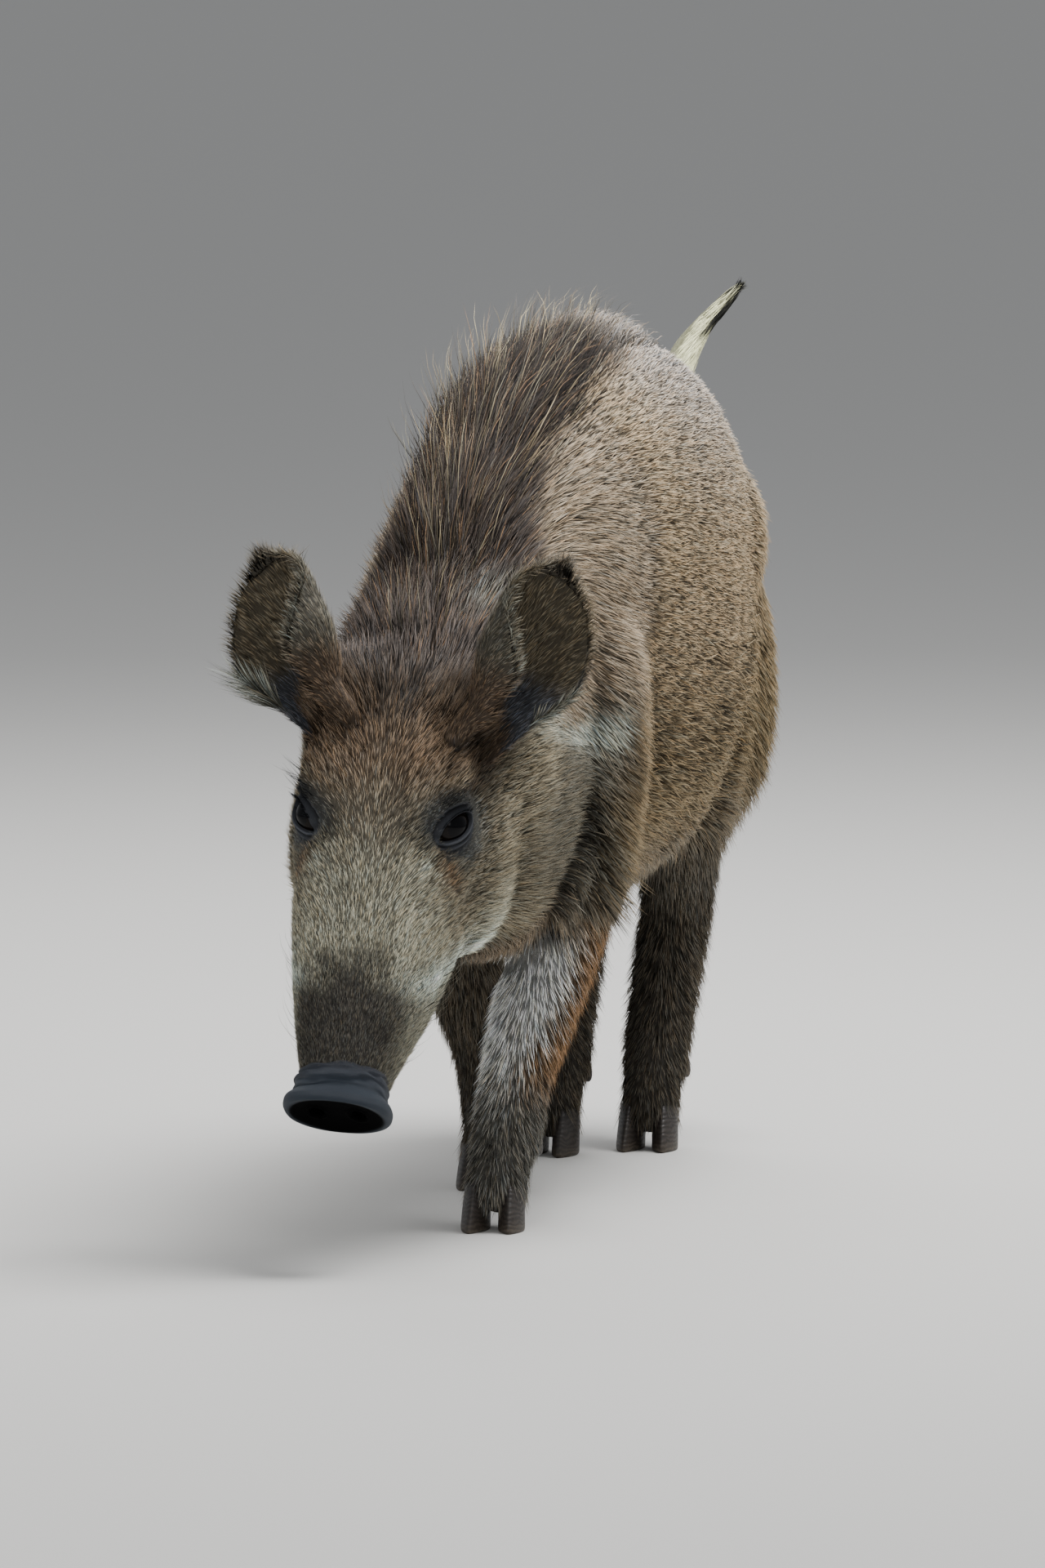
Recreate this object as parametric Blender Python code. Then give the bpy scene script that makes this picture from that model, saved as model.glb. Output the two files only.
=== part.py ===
"""A young wild boar (Sus scrofa), about 16 months old, stepping forward with its head down.

A still, life-size model for a museum, in metres, +Z up. The boar faces -Y, its left side is +X, and it
stands on Z = 0. Every solid reaches out to the tips of the coat. The body is modelled whole, from rings of
flesh swept along the spine, the head and the legs, and is then parted where a person would name its parts.
"""

import math
from collections import namedtuple

import bmesh
import bpy
import numpy as np
from mathutils import Matrix, Vector

# ---------------------------------------------------------------- driving sizes
ROW_SHIFT = Vector((0.0152, 0.1204, 0.0))  # puts the origin under the middle of the boar's box
GAP = 0.0004  # the thin cut between two neighbouring solids
SIDES = 28  # points round a ring of the trunk
STEPS = 5  # rings between two named rings

HEAD_PITCH = math.radians(58)  # how far the muzzle points below the level
HEAD_TILT = math.radians(3)  # how far the head leans, its right side higher
NOSE_CENTRE = Vector((-0.031, -0.600, 0.113))  # middle of the nose disc's face

SOLE = 0.0  # the floor, where every hoof stands
CORONET = 0.030  # height at which the hair ends and the hoof begins
COAT_BODY = 0.011  # depth of the lying coat on the trunk
COAT_HEAD = 0.004
COAT_LEG = 0.005
CREST_SPREAD = math.radians(21)  # how wide the bristle ridge is, as an angle round a ring

EYE_RADIUS = 0.0118
EAR_LENGTH = 0.134
EAR_WIDTH = 0.088

# One ring of flesh: its centre, its reach to the side, up and down from there, the squareness of its
# outline (2 is an ellipse), the depth of the coat over it and the height of the bristles on its top.
Ring = namedtuple("Ring", "name x y z side up down square coat crest")

TORSO = (
    Ring("rump end", 0.000, 0.286, 0.466, 0.050, 0.070, 0.100, 2.0, COAT_BODY, 0.003),
    Ring("croup", 0.000, 0.225, 0.448, 0.077, 0.134, 0.156, 2.1, COAT_BODY, 0.008),
    Ring("loin", 0.000, 0.125, 0.434, 0.096, 0.170, 0.190, 2.2, COAT_BODY, 0.016),
    Ring("belly", 0.000, 0.010, 0.425, 0.106, 0.178, 0.217, 2.2, COAT_BODY, 0.028),
    Ring("ribs", 0.000, -0.100, 0.418, 0.104, 0.174, 0.209, 2.2, COAT_BODY, 0.042),
    Ring("shoulder", 0.000, -0.195, 0.408, 0.094, 0.168, 0.195, 2.0, COAT_BODY, 0.052),
    Ring("neck root", -0.004, -0.275, 0.388, 0.084, 0.148, 0.168, 2.0, COAT_BODY, 0.052),
    Ring("neck", -0.010, -0.345, 0.365, 0.078, 0.116, 0.134, 2.0, 0.010, 0.042),
    Ring("nape", -0.014, -0.405, 0.350, 0.076, 0.092, 0.108, 2.0, 0.007, 0.024),
    Ring("behind the ears", -0.017, -0.445, 0.336, 0.070, 0.072, 0.090, 2.0, 0.005, 0.008),
)

# The head's rings lie along its own axis: x is the distance from the nose disc, and y and z aren't used.
HEAD = (
    Ring("nose", 0.004, 0, 0, 0.0315, 0.0240, 0.0260, 2.4, 0.001, 0.0),
    Ring("behind the nose", 0.030, 0, 0, 0.0325, 0.0270, 0.0310, 2.4, 0.002, 0.0),
    Ring("nostrils' back", 0.060, 0, 0, 0.0405, 0.0310, 0.0400, 2.5, 0.003, 0.0),
    Ring("muzzle", 0.100, 0, 0, 0.0485, 0.0360, 0.0540, 2.5, COAT_HEAD, 0.0),
    Ring("bridge", 0.140, 0, 0, 0.0540, 0.0425, 0.0690, 2.4, COAT_HEAD, 0.0),
    Ring("below the eyes", 0.180, 0, 0, 0.0555, 0.0490, 0.0840, 2.3, COAT_HEAD, 0.0),
    Ring("eyes", 0.220, 0, 0, 0.0570, 0.0560, 0.0950, 2.3, COAT_HEAD, 0.0),
    Ring("brow", 0.260, 0, 0, 0.0620, 0.0610, 0.0990, 2.3, 0.006, 0.0),
    Ring("forehead", 0.300, 0, 0, 0.0650, 0.0580, 0.0930, 2.2, 0.008, 0.0),
    Ring("back of skull", 0.335, 0, 0, 0.0630, 0.0440, 0.0780, 2.1, 0.008, 0.0),
)

# A leg's rings go down it: side is its reach to either side, up its reach forwards, down its reach back.
FORELEG_LEFT = (
    Ring("shoulder blade", 0.060, -0.205, 0.425, 0.037, 0.062, 0.070, 2.0, 0.008, 0.0),
    Ring("upper arm", 0.065, -0.235, 0.345, 0.041, 0.066, 0.068, 2.0, 0.008, 0.0),
    Ring("elbow", 0.062, -0.245, 0.275, 0.036, 0.048, 0.054, 2.0, 0.007, 0.0),
    Ring("forearm", 0.052, -0.268, 0.215, 0.0285, 0.034, 0.034, 2.0, 0.006, 0.0),
    Ring("knee", 0.038, -0.302, 0.148, 0.0235, 0.026, 0.024, 2.3, COAT_LEG, 0.0),
    Ring("cannon", 0.030, -0.320, 0.105, 0.0190, 0.020, 0.022, 2.2, COAT_LEG, 0.0),
    Ring("fetlock", 0.026, -0.331, 0.068, 0.0225, 0.023, 0.025, 2.3, 0.004, 0.0),
    Ring("pastern", 0.024, -0.345, 0.045, 0.0205, 0.021, 0.022, 2.4, 0.003, 0.0),
    Ring("coronet", 0.023, -0.352, 0.024, 0.0215, 0.022, 0.021, 2.5, 0.002, 0.0),
)
FORELEG_RIGHT = (
    Ring("shoulder blade", -0.060, -0.200, 0.425, 0.037, 0.062, 0.070, 2.0, 0.008, 0.0),
    Ring("upper arm", -0.065, -0.222, 0.345, 0.041, 0.066, 0.068, 2.0, 0.008, 0.0),
    Ring("elbow", -0.063, -0.205, 0.277, 0.036, 0.048, 0.054, 2.0, 0.007, 0.0),
    Ring("forearm", -0.056, -0.182, 0.217, 0.0285, 0.034, 0.034, 2.0, 0.006, 0.0),
    Ring("knee", -0.047, -0.146, 0.150, 0.0235, 0.026, 0.024, 2.3, COAT_LEG, 0.0),
    Ring("cannon", -0.042, -0.119, 0.105, 0.0190, 0.020, 0.022, 2.2, COAT_LEG, 0.0),
    Ring("fetlock", -0.040, -0.098, 0.068, 0.0225, 0.023, 0.025, 2.3, 0.004, 0.0),
    Ring("pastern", -0.039, -0.106, 0.045, 0.0205, 0.021, 0.022, 2.4, 0.003, 0.0),
    Ring("coronet", -0.039, -0.112, 0.024, 0.0215, 0.022, 0.021, 2.5, 0.002, 0.0),
)
HINDLEG_LEFT = (
    Ring("hip", 0.0500, 0.222, 0.430, 0.032, 0.078, 0.062, 2.0, 0.008, 0.0),
    Ring("thigh", 0.0510, 0.200, 0.350, 0.032, 0.080, 0.076, 2.0, 0.008, 0.0),
    Ring("stifle", 0.044, 0.180, 0.285, 0.029, 0.060, 0.064, 2.0, 0.007, 0.0),
    Ring("gaskin", 0.034, 0.194, 0.228, 0.0240, 0.038, 0.036, 2.0, 0.006, 0.0),
    Ring("hock", 0.026, 0.208, 0.176, 0.0210, 0.029, 0.030, 2.3, COAT_LEG, 0.0),
    Ring("cannon", 0.023, 0.186, 0.120, 0.0195, 0.023, 0.024, 2.2, COAT_LEG, 0.0),
    Ring("fetlock", 0.021, 0.163, 0.068, 0.0220, 0.023, 0.025, 2.3, 0.004, 0.0),
    Ring("pastern", 0.021, 0.150, 0.045, 0.0200, 0.021, 0.022, 2.4, 0.003, 0.0),
    Ring("coronet", 0.021, 0.143, 0.024, 0.0215, 0.022, 0.021, 2.5, 0.002, 0.0),
)
HINDLEG_RIGHT = (
    Ring("hip", -0.0500, 0.220, 0.430, 0.032, 0.078, 0.062, 2.0, 0.008, 0.0),
    Ring("thigh", -0.0520, 0.190, 0.350, 0.032, 0.080, 0.076, 2.0, 0.008, 0.0),
    Ring("stifle", -0.051, 0.160, 0.287, 0.029, 0.060, 0.064, 2.0, 0.007, 0.0),
    Ring("gaskin", -0.050, 0.168, 0.232, 0.0250, 0.038, 0.036, 2.0, 0.006, 0.0),
    Ring("hock", -0.048, 0.180, 0.178, 0.0215, 0.029, 0.030, 2.3, COAT_LEG, 0.0),
    Ring("cannon", -0.046, 0.150, 0.122, 0.0195, 0.023, 0.024, 2.2, COAT_LEG, 0.0),
    Ring("fetlock", -0.044, 0.118, 0.068, 0.0220, 0.023, 0.025, 2.3, 0.004, 0.0),
    Ring("pastern", -0.044, 0.104, 0.045, 0.0200, 0.021, 0.022, 2.4, 0.003, 0.0),
    Ring("coronet", -0.044, 0.097, 0.024, 0.0215, 0.022, 0.021, 2.5, 0.002, 0.0),
)
LEGS = {
    "foreleg_left": FORELEG_LEFT,
    "foreleg_right": FORELEG_RIGHT,
    "hindleg_left": HINDLEG_LEFT,
    "hindleg_right": HINDLEG_RIGHT,
}
LEG_REGION = 0.008  # how far a leg's own region reaches past it, where it is parted from the trunk

TAIL = (
    Ring("root", 0.000, 0.270, 0.528, 0.0135, 0.0135, 0.0135, 2.0, 0.002, 0.0),
    Ring("set", -0.003, 0.298, 0.553, 0.0115, 0.0115, 0.0115, 2.0, 0.002, 0.0),
    Ring("lift", 0.001, 0.330, 0.580, 0.0085, 0.0085, 0.0085, 2.0, 0.003, 0.0),
    Ring("middle", 0.013, 0.354, 0.604, 0.0065, 0.0065, 0.0065, 2.0, 0.004, 0.0),
    Ring("tuft", 0.027, 0.372, 0.626, 0.0045, 0.0045, 0.0045, 2.0, 0.004, 0.0),
    Ring("tip", 0.038, 0.384, 0.646, 0.0010, 0.0010, 0.0010, 2.0, 0.001, 0.0),
)

# ---------------------------------------------------------------- materials
COLOURS = {
    "coat": ((0.205, 0.160, 0.125), 0.80),
    "mane": ((0.085, 0.065, 0.052), 0.80),
    "leg_coat": ((0.060, 0.045, 0.036), 0.80),
    "ear_coat": ((0.075, 0.062, 0.052), 0.85),
    "nose_skin": ((0.030, 0.028, 0.032), 0.45),
    "eye": ((0.010, 0.008, 0.008), 0.08),
    "hoof": ((0.030, 0.024, 0.020), 0.45),
    "tail_coat": ((0.520, 0.460, 0.370), 0.80),
}


def material(name):
    """The Principled material of that name, made once."""
    if name in bpy.data.materials:
        return bpy.data.materials[name]
    colour, roughness = COLOURS[name]
    made = bpy.data.materials.new(name)
    made.use_nodes = True
    shader = made.node_tree.nodes["Principled BSDF"]
    shader.inputs["Base Color"].default_value = (*colour, 1.0)
    shader.inputs["Roughness"].default_value = roughness
    shader.inputs["Metallic"].default_value = 0.0
    made.diffuse_color = (*colour, 1.0)
    return made


# ---------------------------------------------------------------- mesh helpers
def clear_scene():
    for thing in list(bpy.data.objects):
        bpy.data.objects.remove(thing, do_unlink=True)


def add_object(name, mesh, finish=None, helper=False):
    """Links a new object. A helper is a cutter or a source mesh that is not a part of the boar."""
    thing = bpy.data.objects.new(name, mesh)
    bpy.context.scene.collection.objects.link(thing)
    if finish:
        mesh.materials.clear()
        mesh.materials.append(material(finish))
    if helper:
        thing.hide_render = True
        thing.display_type = "WIRE"
    return thing


def mesh_from(name, build):
    """A mesh made by build(bm), with its faces turned outwards."""
    bm = bmesh.new()
    build(bm)
    bm.normal_update()
    bmesh.ops.recalc_face_normals(bm, faces=bm.faces)
    mesh = bpy.data.meshes.new(name)
    bm.to_mesh(mesh)
    bm.free()
    return mesh


def evaluated_mesh(thing, name):
    """A plain copy of what the object's modifiers make."""
    bpy.context.view_layer.update()
    graph = bpy.context.evaluated_depsgraph_get()
    mesh = bpy.data.meshes.new_from_object(thing.evaluated_get(graph))
    mesh.name = name
    return mesh


def add_boolean(thing, cutter, operation):
    cut = thing.modifiers.new(f"{operation.lower()} {cutter.name}", "BOOLEAN")
    cut.operation = operation
    cut.object = cutter
    cut.solver = "EXACT"
    return cut


def smooth_between(knots, values, at):
    """A smooth curve through the values at the knots that never overshoots between two of them."""
    knots, values = np.asarray(knots, float), np.asarray(values, float)
    width = np.diff(knots)
    slope = np.diff(values) / width
    tangent = np.empty_like(values)
    tangent[0], tangent[-1] = slope[0], slope[-1]
    same_way = slope[:-1] * slope[1:] > 0
    mean = 2 * slope[:-1] * slope[1:] / np.where(same_way, slope[:-1] + slope[1:], 1)
    tangent[1:-1] = np.where(same_way, mean, 0)
    i = np.clip(np.searchsorted(knots, at, side="right") - 1, 0, len(width) - 1)
    t = (at - knots[i]) / width[i]
    return (
        values[i] * (1 + 2 * t) * (1 - t) ** 2
        + tangent[i] * width[i] * t * (1 - t) ** 2
        + values[i + 1] * t * t * (3 - 2 * t)
        + tangent[i + 1] * width[i] * t * t * (t - 1)
    )


def ring_outline(ring, sides):
    """Points round one ring, as (sideways, up) pairs, with the coat and the bristle crest on it."""
    angle = np.arange(sides) * 2 * math.pi / sides
    across, upward = np.cos(angle), np.sin(angle)
    power = 2 / ring.square
    side = (ring.side + ring.coat) * np.sign(across) * abs(across) ** power
    reach = np.where(upward > 0, ring.up + ring.coat, ring.down + ring.coat)
    height = reach * np.sign(upward) * abs(upward) ** power
    ridge = ring.crest * np.exp(-(((angle - math.pi / 2) / CREST_SPREAD) ** 2))
    return side, height + ridge


def fill_in(rings, steps):
    """The named rings with smooth ones added between them."""
    knots = np.arange(len(rings))
    at = np.linspace(0, len(rings) - 1, (len(rings) - 1) * steps + 1)
    columns = [
        smooth_between(knots, [getattr(ring, field) for ring in rings], at)
        for field in Ring._fields[1:]
    ]
    return [Ring("", *row) for row in zip(*columns)]


def sweep(bm, rings, up, sides=SIDES, steps=STEPS, grow=0.0, place=None, dome=0.6):
    """Adds a closed body through the rings, each set square to the path through their centres.

    up is the way that a ring's up points, grow a margin added all round, place an optional function
    from a ring to its centre, and dome the length of the round ends as a share of the end ring.
    """
    dense = [ring._replace(coat=ring.coat + grow) for ring in fill_in(rings, steps)]
    centres = np.array([place(ring) if place else (ring.x, ring.y, ring.z) for ring in dense])
    along = np.gradient(centres, axis=0)
    along /= np.linalg.norm(along, axis=1)[:, None]
    reach = {end: dome * min(dense[end].side, dense[end].up) for end in (0, -1)}
    stations = []
    for end, outwards in ((0, -1), (-1, 1)):
        caps = []
        for share in (0.5, 0.85, 0.98):
            shrink = math.sqrt(1 - share**2)
            ring = dense[end]
            small = ring._replace(
                side=(ring.side + ring.coat) * shrink,
                up=(ring.up + ring.coat) * shrink,
                down=(ring.down + ring.coat) * shrink,
                coat=0.0,
                crest=ring.crest * shrink,
            )
            caps.append((small, centres[end] + along[end] * reach[end] * share * outwards, along[end]))
        if end == 0:
            stations += caps[::-1] + list(zip(dense, centres, along))
        else:
            stations += caps
    loops = []
    for ring, centre, way in stations:
        across = np.cross(way, up)
        across /= np.linalg.norm(across)
        upward = np.cross(across, way)
        side, height = ring_outline(ring, sides)
        points = centre + side[:, None] * across + height[:, None] * upward
        loops.append([bm.verts.new(point) for point in points])
    for one, two in zip(loops, loops[1:]):
        for j in range(sides):
            k = (j + 1) % sides
            bm.faces.new((one[j], one[k], two[k], two[j]))
    bm.faces.new(loops[0][::-1])
    bm.faces.new(loops[-1])


# ---------------------------------------------------------------- the head's own directions
LEAN = Matrix.Rotation(HEAD_TILT, 3, "Y")
HEAD_BACK = LEAN @ Vector((0, math.cos(HEAD_PITCH), math.sin(HEAD_PITCH)))
HEAD_LEFT = LEAN @ Vector((1, 0, 0))
HEAD_UP = HEAD_LEFT.cross(HEAD_BACK)


def head_point(back, left=0.0, up=0.0):
    """A point of the head: its distance back from the nose disc, to the left, and up towards the brow."""
    return NOSE_CENTRE + HEAD_BACK * back + HEAD_LEFT * left + HEAD_UP * up


def add_lump(bm, centre, axes, radii):
    """Adds an ellipsoid, for a muscle or a brow, with its radii along the three axes."""
    made = bmesh.ops.create_uvsphere(bm, u_segments=20, v_segments=12, radius=1.0)
    turn = Matrix([axis * radius for axis, radius in zip(axes, radii)]).transposed()
    for vert in made["verts"]:
        vert.co = centre + turn @ vert.co


# Swellings on the head: where each lies (back, left, up) and its radii (to the side, along, up).
Lump = namedtuple("Lump", "name back left up side along high")
PAIRED_LUMPS = (
    Lump("brow", 0.234, 0.040, 0.041, 0.021, 0.034, 0.017),
    Lump("cheekbone", 0.245, 0.048, -0.028, 0.034, 0.085, 0.049),
    Lump("cheek tuft", 0.214, 0.044, -0.054, 0.037, 0.070, 0.046),
    Lump("jowl", 0.300, 0.050, -0.034, 0.036, 0.062, 0.056),
)
CHIN = Lump("chin", 0.052, 0.0, -0.030, 0.024, 0.030, 0.019)
EYE_PLACE = dict(back=0.214, left=0.0495, up=0.027)


def head_place(ring):
    return head_point(ring.x)


def add_head(bm):
    sweep(bm, HEAD, HEAD_UP, sides=SIDES, place=head_place, dome=0.25)
    axes = (HEAD_LEFT, HEAD_BACK, HEAD_UP)
    for side in (1, -1):
        for lump in PAIRED_LUMPS:
            place = head_point(lump.back, side * lump.left, lump.up)
            add_lump(bm, place, axes, (lump.side, lump.along, lump.high))
    add_lump(bm, head_point(CHIN.back, CHIN.left, CHIN.up), axes, (CHIN.side, CHIN.along, CHIN.high))


# ---------------------------------------------------------------- the whole body
VOXEL = 0.0065
SMOOTHING_ROUNDS = 7
BODY_TRIANGLES = 4800
FORWARDS = Vector((0, -1, 0))
UPWARDS = Vector((0, 0, 1))


def add_flesh(bm):
    """Trunk, neck, head and legs, each reaching into the next."""
    sweep(bm, TORSO, UPWARDS)
    add_head(bm)
    for rings in LEGS.values():
        sweep(bm, rings, FORWARDS, sides=20)


def whole_body():
    """One closed surface over all the flesh, blended where the parts run into each other."""
    flesh = add_object("flesh", mesh_from("flesh", add_flesh), helper=True)
    remesh = flesh.modifiers.new("one surface", "REMESH")
    remesh.mode = "VOXEL"
    remesh.voxel_size = VOXEL
    blend = flesh.modifiers.new("blend", "SMOOTH")
    blend.iterations = SMOOTHING_ROUNDS
    fine = evaluated_mesh(flesh, "fine body")
    fine.calc_loop_triangles()
    thin = flesh.modifiers.new("fewer faces", "DECIMATE")
    thin.ratio = BODY_TRIANGLES / len(fine.loop_triangles)
    thin.use_collapse_triangulate = True
    whole = add_object("whole", evaluated_mesh(flesh, "whole body"), helper=True)
    bpy.data.objects.remove(flesh)
    return whole


def grown_copy(thing, name, margin):
    """A helper copy of a mesh, moved out by a margin, so that what it cuts keeps a gap to it."""
    mesh = evaluated_mesh(thing, name)
    normals = [vert.normal.copy() for vert in mesh.vertices]
    for vert, normal in zip(mesh.vertices, normals):
        vert.co += normal * margin
    return add_object(name, mesh, helper=True)


def block(name, centre, turn, size):
    """A box as a helper: size along the columns of turn."""

    def build(bm):
        bmesh.ops.create_cube(bm, size=1.0)
        for vert in bm.verts:
            vert.co = centre + turn @ Vector(a * b for a, b in zip(vert.co, size))

    return add_object(name, mesh_from(name, build), helper=True)


# Each cut goes through a top and a bottom point of the midline, straight across the boar.
HEAD_CUT = (head_point(0.345, up=0.060), head_point(0.262, up=-0.120))
NECK_CUT = (Vector((0, -0.262, 0.600)), Vector((0, -0.250, 0.200)))


def half_space(name, cut, behind, clearance):
    """A big block on one side of a cut, standing back from it by a clearance."""
    top, bottom = cut
    down = (bottom - top).normalized()
    across = Vector((1, 0, 0))
    back = down.cross(across).normalized()
    if back.y < 0:
        back = -back
    way = back if behind else -back
    size = 1.5
    centre = (top + bottom) / 2 + way * (size / 2 + clearance)
    turn = Matrix((across, back, down)).transposed()
    return block(name, centre, turn, (size, size, size))


def leg_region(name, rings):
    """The space that belongs to one leg: a little more than the leg all round."""

    def build(bm):
        sweep(bm, rings, FORWARDS, sides=14, steps=2, grow=LEG_REGION)
        bmesh.ops.triangulate(bm, faces=bm.faces)  # so that its grown copy has the same facets

    return add_object(name, mesh_from(name, build), helper=True)


def part_legs(whole):
    """The four legs as nodes, and their regions grown by the gap, to be cut from the rest."""
    regions = []
    coronets = block(
        "below the hair", Vector((0, 0, CORONET - 0.5)), Matrix.Identity(3), (2.0, 2.0, 1.0)
    )
    for name, rings in LEGS.items():
        region = leg_region(f"region {name}", rings)
        leg = add_object(name, whole.data.copy(), "leg_coat")
        add_boolean(leg, region, "INTERSECT")
        add_boolean(leg, coronets, "DIFFERENCE")
        regions.append(grown_copy(region, f"grown {name}", GAP))
    return regions


def part_torso(whole, regions):
    """Head, neck and trunk, parted by the two straight cuts."""
    front_of_head = half_space("head side", HEAD_CUT, False, GAP / 2)
    back_of_head = half_space("body side", HEAD_CUT, True, GAP / 2)
    front_of_neck = half_space("neck side", NECK_CUT, False, GAP / 2)
    back_of_neck = half_space("trunk side", NECK_CUT, True, GAP / 2)
    made = {}
    for name, spaces in (
        ("head", (front_of_head,)),
        ("neck", (back_of_head, front_of_neck)),
        ("trunk", (back_of_neck,)),
    ):
        piece = add_object(name, whole.data.copy(), "mane" if name == "neck" else "coat")
        for region in regions:
            add_boolean(piece, region, "DIFFERENCE")
        for space in spaces:
            add_boolean(piece, space, "INTERSECT")
        made[name] = piece
    return made


# ---------------------------------------------------------------- nose disc
NOSE_WIDTH = 0.0785
NOSE_HEIGHT = 0.0600
NOSE_BACK = 0.0095  # how far behind the face's middle the disc joins the head
NOSTRIL_APART = 0.0150
NOSTRIL_RADII = (0.0048, 0.0062)


def oval_point(angle, width, height, square=2.3):
    """A point of an oval outline, as (left, up)."""
    across, upward = math.cos(angle), math.sin(angle)
    power = 2 / square
    return (
        width / 2 * math.copysign(abs(across) ** power, across),
        height / 2 * math.copysign(abs(upward) ** power, upward),
    )


def make_nose(head):
    """The bare disc at the muzzle's end: a swollen rim, a slightly dished face and two nostrils."""
    profile = (  # distance back from the face, and share of the full outline
        (NOSE_BACK - GAP, 0.86),
        (0.0055, 0.95),
        (0.0010, 1.00),
        (-0.0035, 0.97),
        (-0.0055, 0.88),
        (-0.0050, 0.72),
        (-0.0035, 0.40),
    )
    sides = 24

    def build(bm):
        loops = []
        for back, share in profile:
            loop = []
            for j in range(sides):
                left, up = oval_point(2 * math.pi * j / sides, NOSE_WIDTH * share, NOSE_HEIGHT * share)
                loop.append(bm.verts.new(head_point(back, left, up)))
            loops.append(loop)
        for one, two in zip(loops, loops[1:]):
            for j in range(sides):
                k = (j + 1) % sides
                bm.faces.new((one[j], one[k], two[k], two[j]))
        bm.faces.new(loops[0][::-1])
        bm.faces.new(loops[-1])

    nose = add_object("nose_disc", mesh_from("nose_disc", build), "nose_skin")
    for side, name in ((1, "left"), (-1, "right")):

        def build_pit(bm, side=side):
            made = bmesh.ops.create_cone(
                bm, cap_ends=True, segments=14, radius1=1.0, radius2=0.7, depth=1.0
            )
            axes = Matrix((HEAD_LEFT * NOSTRIL_RADII[0], HEAD_UP * NOSTRIL_RADII[1], HEAD_BACK * 0.012))
            for vert in made["verts"]:
                place = head_point(-0.0015, side * NOSTRIL_APART, -0.001)
                vert.co = place + axes.transposed() @ vert.co

        pit = add_object(f"nostril {name}", mesh_from(f"nostril {name}", build_pit), helper=True)
        add_boolean(nose, pit, "DIFFERENCE")
    muzzle_end = block(
        "muzzle end",
        head_point(NOSE_BACK - 0.05),
        Matrix((HEAD_LEFT, HEAD_BACK, HEAD_UP)).transposed(),
        (0.2, 0.1, 0.2),
    )
    add_boolean(head, muzzle_end, "DIFFERENCE")
    return nose


# ---------------------------------------------------------------- eyes
def make_eyes(head):
    """Two eyeballs, and the sockets that they sit in."""
    for side, name in ((1, "left"), (-1, "right")):
        centre = head_point(EYE_PLACE["back"], side * EYE_PLACE["left"], EYE_PLACE["up"])
        for title, radius in ((f"eye_{name}", EYE_RADIUS), (f"socket {name}", EYE_RADIUS + GAP)):

            def build(bm, centre=centre, radius=radius):
                made = bmesh.ops.create_icosphere(bm, subdivisions=2, radius=radius)
                for vert in made["verts"]:
                    vert.co += centre

            is_socket = title.startswith("socket")
            ball = add_object(title, mesh_from(title, build), None if is_socket else "eye", is_socket)
            if is_socket:
                add_boolean(head, ball, "DIFFERENCE")
            else:
                ball.data.shade_smooth()


# ---------------------------------------------------------------- ears
EAR_ROOT = dict(back=0.306, left=0.059, up=0.047)
EAR_LEAN = Vector((0.054, 0.024, 0.092)).normalized()  # up the left ear, from root to tip
EAR_OPENS = Vector((0.62, -0.78, 0.02))  # the way that the left ear's hollow faces
EAR_THICKNESS = 0.0070
EAR_RISES = (0.0, 0.2, 0.4, 0.6, 0.8, 0.92, 1.0)
EAR_SPREAD = (0.40, 0.66, 0.92, 1.00, 0.88, 0.62, 0.12)  # share of the full width at those rises
EAR_ROWS, EAR_COLUMNS = 9, 8


def ear_frame(side):
    """Root, way up the ear, way across it and the way it opens, for the left (1) or right (-1) ear."""
    root = head_point(EAR_ROOT["back"], side * EAR_ROOT["left"], EAR_ROOT["up"])
    lean = Vector((side * EAR_LEAN.x, EAR_LEAN.y, EAR_LEAN.z))
    opens = Vector((side * EAR_OPENS.x, EAR_OPENS.y, EAR_OPENS.z))
    opens = (opens - lean * opens.dot(lean)).normalized()
    return root, lean, lean.cross(opens) * side, opens


def ear_point(side, rise, across):
    """A point on the ear's middle layer: rise goes 0 to 1 from root to tip, across -1 to 1."""
    root, lean, sideways, opens = ear_frame(side)
    width = EAR_WIDTH / 2 * float(smooth_between(EAR_RISES, EAR_SPREAD, rise))
    curl = math.radians(118) * (1 - rise) ** 1.1 + math.radians(34)  # half the arc that it spans
    radius = width / math.sin(min(curl, math.pi / 2))
    angle = across * curl
    lift = EAR_LENGTH * rise * (1 - 0.10 * across**2 * rise)
    bow = 0.010 * math.sin(math.pi * rise)
    return (
        root
        + lean * (lift - 0.022)
        + sideways * radius * math.sin(angle)
        + opens * (radius * (1 - math.cos(angle)) - bow)
    )


def make_ear(side, name, head_grown):
    """A cupped leaf, thickest at its root, cut where it meets the head."""

    def build(bm):
        rises = np.linspace(0, 1, EAR_ROWS) ** 0.85
        spans = np.linspace(-1, 1, EAR_COLUMNS)
        grid = [[bm.verts.new(ear_point(side, rise, across)) for across in spans] for rise in rises]
        for i in range(EAR_ROWS - 1):
            for j in range(EAR_COLUMNS - 1):
                bm.faces.new((grid[i][j], grid[i][j + 1], grid[i + 1][j + 1], grid[i + 1][j]))

    ear = add_object(name, mesh_from(name, build), "ear_coat")
    wall = ear.modifiers.new("thickness", "SOLIDIFY")
    wall.thickness = EAR_THICKNESS
    wall.offset = 0.0
    wall.use_even_offset = False
    add_boolean(ear, head_grown, "DIFFERENCE")
    return ear


# ---------------------------------------------------------------- tail
def make_tail(body_grown):
    def build(bm):
        sweep(bm, TAIL, Vector((1, 0, 0)), sides=10, steps=2, dome=0.5)

    tail = add_object("tail", mesh_from("tail", build), "tail_coat")
    add_boolean(tail, body_grown, "DIFFERENCE")
    return tail


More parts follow.
